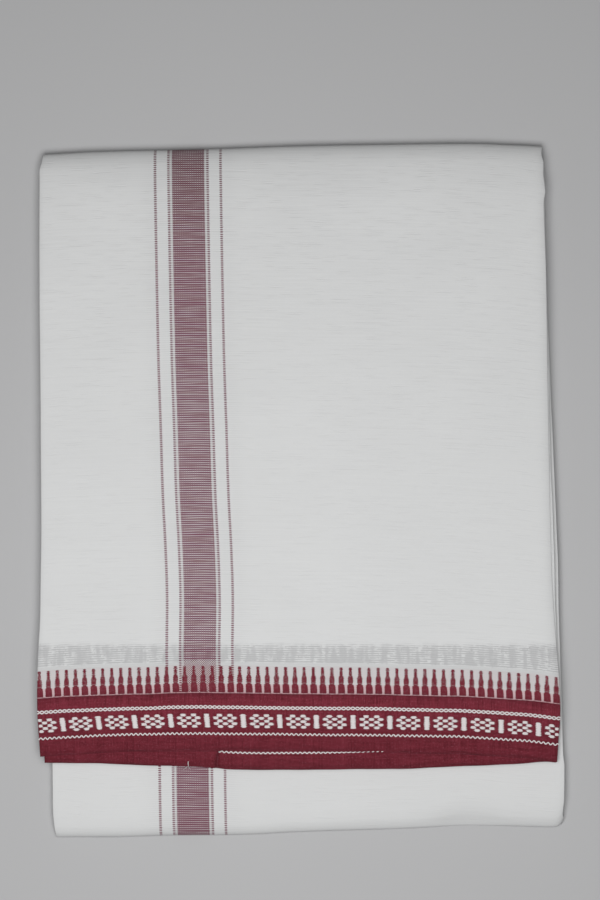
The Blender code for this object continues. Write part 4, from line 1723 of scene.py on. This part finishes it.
def temple_group() -> NodeTree:
    """Row of stepped temples on a thin white line."""
    outputs = "Temple", "Base Line", "Sill", "Band"
    made = EffectGroup("temple_row", {"Pitch": TEMPLE_PITCH}, outputs)
    along, level = made.place
    pitch = made.given["Pitch"]
    straight = made.minus(along, made.ramp(level, 33.6, 30.0, -0.05, 0.14))
    turn = made.add(made.math("DIVIDE", straight, pitch), 0.5)
    number = made.math("FLOOR", turn)
    away = made.times(made.math("ABSOLUTE", made.minus(made.math("FRACT", turn), 0.5)), pitch)
    row = made.math("FLOOR", made.math("DIVIDE", level, THREAD_PITCH))
    jitter = made.scatter(number, row, 3.0)
    foot, tip = TEMPLE_ROWS[0][0], TEMPLE_ROWS[-1][0]
    share = made.node("ShaderNodeMapRange", {"Value": level, "From Min": foot, "From Max": tip})
    widths = made.node("ShaderNodeFloatCurve", {"Value": share.outputs[0]})
    shape = widths.mapping.curves[0]
    for _ in range(len(TEMPLE_ROWS) - 2):
        shape.points.new(0.5, 0.5)
    for point, (place, width) in zip(shape.points, TEMPLE_ROWS):
        point.location = ((place - foot) / (tip - foot), width / 2.0)
        point.handle_type = "VECTOR"
    widths.mapping.update()
    half = made.times(widths.outputs[0], 2.0)
    teeth = made.minus(made.math("MODULO", row, 2.0), 0.5)
    teeth = made.add(made.times(teeth, 0.30), made.swing(jitter, 0.20))
    rough = made.times(teeth, made.ramp(level, 32.0, 33.4, 0.3, 1.0))
    temple = made.ramp(made.minus(made.add(half, rough), away), -0.10, 0.10)
    waist = made.times(made.window(level, *TEMPLE_WAIST, 0.06), 0.25)
    inside = made.times(made.window(level, *TEMPLES, 0.06), made.minus(1.0, waist))
    grain = made.scatter(made.math("FLOOR", made.math("DIVIDE", along, THREAD_PITCH)), row, 8.0)
    grain = made.times(made.ramp(grain, 0.55, 0.95), made.ramp(level, 33.0, 40.0, 0.05, 0.26))
    wander = made.noise(made.join(made.times(along, 0.8), 0.0), 1.0)
    line = made.add(level, made.swing(wander, 0.12))
    worn = made.noise(made.join(made.times(along, 0.62), 7.0), 1.0)
    line = made.times(made.window(line, *BASE_LINE, 0.06), made.ramp(worn, 0.40, 0.56, 0.55, 1.0))
    return made.give(
        temple=made.times(temple, inside, made.minus(1.0, grain)), base_line=line,
        sill=made.ramp(level, 28.80, 28.90, 1.0, 0.0), band=made.window(level, 28.7, 44.6, 0.4),
    )


def show_through_group() -> NodeTree:
    """Faint grey of the tucked border that shows through the thin cloth above the temples."""
    made = EffectGroup("show_through", {"Across": 0.0}, ("Shade",))
    along, level = made.place
    shown = made.ramp(made.given["Across"], *SHOWN_UP_TO, 1.0, 0.0)
    band = made.times(made.math("POWER", shown, 1.8), made.window(level, 43.7, 60.0, 0.7))
    dash = made.threads((along, 0.20), (level, 0.95), 5.0, rough=0.6)
    dash = made.times(made.ramp(dash, 0.40, 0.54), made.ramp(made.picks(level), -0.3, 0.3))
    gap = made.threads((along, 0.30), (level, 0.06), 8.0, 1.0)
    dots = made.threads((along, 1.0), (level, 1.0), 2.0, 0.0)
    shade = made.weigh(
        0.10, (dash, 1.55), (made.ramp(gap, 0.40, 0.60), 0.52), (made.ramp(dots, 0.68, 0.76), 0.9)
    )
    below = made.times(made.window(level, 28.9, 43.4, 0.7), shown)
    return made.give(shade=made.add(made.times(band, shade), made.times(below, 0.34)))


def rib_group() -> NodeTree:
    """Maroon warp ground: faint ribs up the cloth, specks of pale weft and long soft streaks."""
    made = EffectGroup("warp_ground", {"Amount": 1.0}, ("Rib", "Speck", "Streak"))
    along, level = made.place
    ribs = made.threads((along, 1.5), (level, 0.09), rough=0.7)
    specks = made.threads((along, 1.5), (level, 1.5), 7.0, 1.0)
    streaks = made.threads((along, 0.09), (level, 0.75), 1.0, 3.0, 0.6)
    amount = made.given["Amount"]
    return made.give(
        rib=made.swing(ribs, amount), speck=made.times(made.ramp(specks, 0.54, 0.74), amount),
        streak=made.swing(streaks, amount),
    )


@dataclass(frozen=True)
class Effects:
    """The node groups that the finishes share, each built once."""

    weave: NodeTree = field(default_factory=weave_group)
    slubs: NodeTree = field(default_factory=slub_group)
    stripe: NodeTree = field(default_factory=stripe_group)
    temples: NodeTree = field(default_factory=temple_group)
    show_through: NodeTree = field(default_factory=show_through_group)
    ground: NodeTree = field(default_factory=rib_group)


class ShaderTable(ShaderBench):
    """A new material, with its bench and its Principled shader."""

    def __init__(self, name: str, **values: float) -> None:
        """Start the material.

        Args:
            name: name of the material.
            values: the shader's plain values by name.
        """
        self.material = bpy.data.materials.new(name)
        self.material.use_nodes = True
        super().__init__(self.material.node_tree)
        self.shader = self.tree.nodes["Principled BSDF"].inputs
        for key, value in values.items():
            self.shader[label_of(key)].default_value = value

    def dress(self, colour: Socket, rough: Socket, height: Socket, relief: tuple[float, float]) -> None:
        """Join the colour, the roughness and the height, with its strength and depth."""
        self.put(colour, self.shader["Base Color"])
        self.put(rough, self.shader["Roughness"])
        inputs = {"Height": height, "Strength": relief[0], "Distance": relief[1]}
        self.put(self.node("ShaderNodeBump", inputs).outputs[0], self.shader["Normal"])


@dataclass(frozen=True)
class ClothFinish:
    """Dyed and bleached handloom cotton, coloured by its place on the cloth."""

    name: str
    effects: Effects
    border: bool = True
    field: bool = True
    white: Colour = (0.722, 0.728, 0.727, 1.0)
    white_shade: Colour = (0.500, 0.502, 0.506, 1.0)
    maroon: Colour = (0.208, 0.028, 0.045, 1.0)
    maroon_deep: Colour = (0.096, 0.0085, 0.015, 1.0)
    maroon_pale: Colour = (0.40, 0.12, 0.16, 1.0)
    weft_maroon: Colour = (0.150, 0.018, 0.050, 1.0)
    weft_brown: Colour = (0.100, 0.032, 0.038, 1.0)
    twisted: Colour = (0.66, 0.40, 0.43, 1.0)
    blush: Colour = (0.62, 0.30, 0.33, 1.0)
    roughness: float = 0.88
    sheen: float = 0.04
    relief: float = 0.00012
    sheer: float = 1.15

    def make(self) -> Material:
        """Build the material.

        Returns:
            The new material.
        """
        bench = ShaderTable(self.name, sheen_weight=self.sheen, sheen_roughness=0.55)
        bench.shader["Specular IOR Level"].default_value = 0.15
        flat = bench.node("ShaderNodeUVMap", uv_map=CLOTH_MAP).outputs[0]
        in_mm = {"Vector": flat, "Scale": (1000.0, 1000.0, 1000.0)}
        place = bench.node("ShaderNodeMapping", in_mm).outputs[0]
        _, level = bench.split(place)
        weave = bench.group(self.effects.weave, place=place)
        uneven = bench.times(
            bench.ramp(level, 120.0, 300.0, 0.70, 1.15), bench.ramp(level, 400.0, 500.0, 1.0, 0.50)
        )
        slubs = bench.group(self.effects.slubs, place=place, amount=uneven)

        colour, height = None, None
        if self.field:
            colour, height = self.white_field(bench, place, level, weave, slubs)
        if self.border:
            ground, ground_height = self.maroon_ground(bench, place, level, weave, slubs)
            if colour is None:
                colour, height = ground, ground_height
            else:
                solid = bench.ramp(level, BORDER_WIDTH - 0.1, BORDER_WIDTH + 0.1, 1.0, 0.0)
                colour = bench.blend(solid, colour, ground)
                height = bench.between(solid, height, ground_height)
        rough = bench.weigh(self.roughness, (slubs["Cloud"], 0.10))
        bench.dress(colour, bench.math("MINIMUM", rough, 1.0), height, (1.0, self.relief))
        return bench.material

    def white_field(
        self, bench: ShaderBench, place: Socket, level: Socket, weave: dict, slubs: dict
    ) -> tuple[Output, Output]:
        """Colour and height of the field, its stripe and its temples."""
        stripe = bench.group(self.effects.stripe, place=place)
        temples = bench.group(self.effects.temples, place=place)
        body_place = bench.node("ShaderNodeTexCoord").outputs["Object"]
        across = bench.times(bench.split(body_place)[1], 1.0 / MM)
        through = bench.group(self.effects.show_through, place=place, across=across)
        ground = bench.group(self.effects.ground, place=place)

        weft_side = bench.minus(1.0, weave["Warp On Top"])
        beside = stripe["Beside"]
        # The slub term paints a highlight on each thick yarn and a shadow line just below it.
        shade = bench.weigh(
            0.08, (slubs["Pick"], -0.30), (slubs["Cloud"], 0.26), (slubs["Slub"], -0.12),
            (weft_side, 0.04), (weave["Rung"], bench.ramp(beside, 0.0, 1.0, 0.02, 0.09)),
            (beside, 0.09), (through["Shade"], self.sheer),
        )
        cream = bench.blend(bench.math("ADD", shade, 0.0, clamp=True), self.white, self.white_shade)

        row = bench.ramp(weave["Rung"], -0.2, 0.2)
        dense = bench.add(
            bench.ramp(level, 172.0, 212.0, 0.0, 0.20), bench.ramp(level, 250.0, 290.0, 0.0, 0.10),
            bench.ramp(level, 400.0, 500.0, 0.0, -0.07),
        )
        crossed = bench.weigh(0.40, (weave["Dot"], 0.58))
        light = bench.between(row, crossed, bench.times(weave["Dot"], 0.22))
        light = bench.times(light, bench.between(stripe["Uneven"], 1.30, 0.66), bench.minus(1.0, dense))
        strong = bench.minus(1.0, light)
        pale = bench.weigh(0.04, (weft_side, 0.92))
        band = bench.times(stripe["Band"], bench.between(temples["Band"], strong, pale))
        line = bench.times(stripe["Line"], bench.between(row, 0.06, 1.40))
        cord = bench.times(stripe["Cord"], bench.between(row, 0.04, 0.30))
        bleed = bench.ramp(level, 33.6, 32.2, 0.10, 0.54)
        bleed = bench.times(bench.window(level, 28.6, 42.0, 0.3), bleed)
        cream = bench.blend(bleed, cream, self.blush)
        dyed = bench.most(band, line, cord, temples["Temple"], temples["Sill"])
        dyed = bench.math("MINIMUM", dyed, 1.0)
        dye = bench.blend(bench.add(0.30, ground["Rib"]), self.maroon, self.maroon_deep)
        dye = bench.blend(bench.ramp(level, 40.0, 44.0), dye, self.weft_maroon)
        dull = bench.times(
            bench.ramp(level, 225.0, 285.0, 0.0, 0.50), bench.ramp(level, 300.0, 340.0, 1.0, 0.0)
        )
        dye = bench.blend(dull, dye, self.weft_brown)
        colour = bench.blend(dyed, cream, dye)
        colour = bench.blend(temples["Base Line"], colour, self.twisted)

        height = bench.weigh(
            0.0, (weave["Height"], 0.30), (slubs["Pick"], 0.5), (slubs["Slub"], 0.35),
            (stripe["Cord"], 1.5), (temples["Temple"], 0.4), (temples["Base Line"], 0.1),
        )
        return colour, height

    def maroon_ground(
        self, bench: ShaderBench, place: Socket, level: Socket, weave: dict, slubs: dict
    ) -> tuple[Output, Output]:
        """Colour and height of the solid maroon border."""
        ground = bench.group(self.effects.ground, place=place)
        low = bench.ramp(level, 8.0, 20.0, 0.26, 0.02)
        ribbed = bench.times(ground["Rib"], bench.ramp(level, 8.0, 20.0, 1.3, 2.4))
        deep = bench.add(
            0.22, low, ribbed, bench.times(ground["Streak"], 1.3),
            bench.times(weave["Warp On Top"], 0.22),
        )
        colour = bench.blend(bench.math("ADD", deep, 0.0, clamp=True), self.maroon, self.maroon_deep)
        colour = bench.blend(bench.times(ground["Speck"], 0.30), colour, self.maroon_pale)
        height = bench.weigh(
            0.0, (weave["Height"], 0.35), (ground["Rib"], 1.6), (ground["Streak"], 1.2),
            (slubs["Slub"], 0.6),
        )
        return colour, height


@dataclass(frozen=True)
class YarnFinish:
    """Soft twisted yarn of one colour."""

    name: str
    light: Colour
    dark: Colour
    roughness: float = 0.8
    twist: float = 2600.0

    def make(self) -> Material:
        """Build the material.

        Returns:
            The new material.
        """
        bench = ShaderTable(self.name, sheen_weight=0.15)
        bench.shader["Specular IOR Level"].default_value = 0.3
        place = bench.node("ShaderNodeTexCoord").outputs["Object"]
        plies = bench.node(
            "ShaderNodeTexWave", {"Vector": place, "Scale": self.twist, "Distortion": 1.5},
            bands_direction="DIAGONAL",
        ).outputs[1]
        fuzz = bench.noise(place, 2200.0, 2.0)
        shade = bench.weigh(0.0, (plies, 0.45), (fuzz, 0.35))
        colour = bench.blend(shade, self.light, self.dark)
        rough = bench.weigh(self.roughness, (fuzz, 0.15))
        bench.dress(colour, rough, plies, (0.8, 0.00008))
        return bench.material


@dataclass(frozen=True)
class FloorFinish:
    """Plain pale matt studio floor."""

    tone: Colour = (0.50, 0.50, 0.505, 1.0)
    tone_dark: Colour = (0.48, 0.48, 0.485, 1.0)

    def make(self) -> Material:
        """Build the material.

        Returns:
            The new material.
        """
        bench = ShaderTable("pale_floor", roughness=0.9)
        place = bench.node("ShaderNodeTexCoord").outputs["Object"]
        colour = bench.blend(bench.noise(place, 3.0), self.tone, self.tone_dark)
        bench.put(colour, bench.shader["Base Color"])
        return bench.material


# ---- Studio ----


@dataclass
class Studio:
    """Camera straight above the packet, soft lights and a plain floor."""

    camera_place: tuple[float, float, float] = (-0.68, 19.9, PACKET_HEIGHT + 1452.0)
    lens: float = 120.0
    key_place: tuple[float, float, float] = (-0.05, -0.13, 0.75)
    key_power: float = 4.05
    fill_place: tuple[float, float, float] = (0.10, 0.10, 2.30)
    fill_power: float = 10.0
    ambient: float = 0.10

    def camera(self) -> None:
        """Add the camera."""
        data = bpy.data.cameras.new("camera")
        data.sensor_fit = "VERTICAL"
        data.sensor_height = 36.0
        data.lens = self.lens
        data.clip_end = 20.0
        camera = in_scene("camera", data)
        camera.location = Vector(self.camera_place) * MM
        bpy.context.scene.camera = camera

    def light(self, name: str, place: tuple, power: float, size: float) -> None:
        """Add a square soft light that faces the packet."""
        data = bpy.data.lights.new(name, "AREA")
        data.energy = power
        data.size = size
        lamp = in_scene(name, data)
        lamp.location = place
        lamp.rotation_euler = (-Vector(place)).to_track_quat("-Z", "Y").to_euler()
        lamp.visible_camera = False

    def lights(self) -> None:
        """Add the key light, the fill light and the soft surroundings."""
        self.light("key_light", self.key_place, self.key_power, 0.40)
        self.light("fill_light", self.fill_place, self.fill_power, 1.4)
        world = bpy.data.worlds.new("soft_room")
        world.use_nodes = True
        back = world.node_tree.nodes["Background"]
        back.inputs["Color"].default_value = (1.0, 1.0, 1.0, 1.0)
        back.inputs["Strength"].default_value = self.ambient
        bpy.context.scene.world = world
        bpy.context.scene.view_settings.view_transform = "Standard"
        bpy.context.scene.view_settings.look = "None"

    def floor(self) -> None:
        """Add the floor."""
        mesh = bpy.data.meshes.new("floor")
        reach, level = 3.0, -0.0003
        corners = [(-1, -1), (1, -1), (1, 1), (-1, 1)]
        places = [(x * reach, y * reach, level) for x, y in corners]
        mesh.from_pydata(places, [], [(0, 1, 2, 3)])
        mesh.materials.append(FloorFinish().make())
        in_scene("floor", mesh)

    def build(self) -> None:
        """Set up the whole studio."""
        self.camera()
        self.lights()
        self.floor()


def settle(piece: Object, slot: str, nodes: Sequence[str] = ()) -> None:
    """Tie a piece to the packet's body, hide the CAD parts that it stands for, and report it with its
    slot name.

    Args:
        piece: the finished piece.
        slot: name of a material slot, only written to the log.
        nodes: CAD nodes that it stands for.
    """
    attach(piece, BODY)
    if nodes:
        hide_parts(*nodes)
    LOG.info("%s: %d vertices, slot %s, stands for %s", piece.name, len(piece.data.vertices), slot,
             ", ".join(nodes) or "nothing")


def main() -> None:
    """Build the packet from its outermost layer inwards, then its threads and the studio."""
    logging.basicConfig(level=logging.INFO, format="%(name)s: %(message)s")
    Studio().build()
    effects = Effects()
    maroon = ClothFinish("maroon_border_cotton", effects, field=False).make()
    white = ClothFinish("white_field_cotton", effects, border=False).make()
    whole = ClothFinish("bordered_cotton", effects, sheer=0.0).make()
    yarn = YarnFinish("white_figuring_yarn", (0.94, 0.92, 0.91, 1.0), (0.76, 0.69, 0.70, 1.0)).make()
    dark_yarn = YarnFinish("maroon_yarn", (0.21, 0.040, 0.060, 1.0), (0.11, 0.018, 0.03, 1.0)).make()

    border, field_cloth = OuterCloth().build()
    border.data.materials.append(maroon)
    field_cloth.data.materials.append(white)
    turned = turned_end().build()
    second = second_border().build()
    hidden = HiddenLayers().build()
    for piece in (turned, second, hidden):
        piece.data.materials.append(whole)

    threads = FigureThreads(yarn)
    waving, floats = waving_thread_tree(), float_tree()
    wavy = threads.waves(waving)
    second_wavy = threads.second_wave(waving)
    chain = threads.chain(waving)
    figures = threads.motifs(floats)
    fringe = threads.fringe(floats, dark_yarn)
    loose = threads.loose_thread()

    settle(border, MAROON_SLOT, ("front_border",))
    settle(field_cloth, WHITE_SLOT, ("front_flap", "lower_front", "back_panel"))
    settle(turned, MAROON_SLOT, ("turned_end",))
    settle(second, MAROON_SLOT, ("second_border",))
    settle(hidden, WHITE_SLOT, ("inner_folds",))
    for piece in (wavy, second_wavy, chain, figures, loose):
        settle(piece, WHITE_SLOT)
    settle(fringe, MAROON_SLOT)


if __name__ == "__main__":
    main()
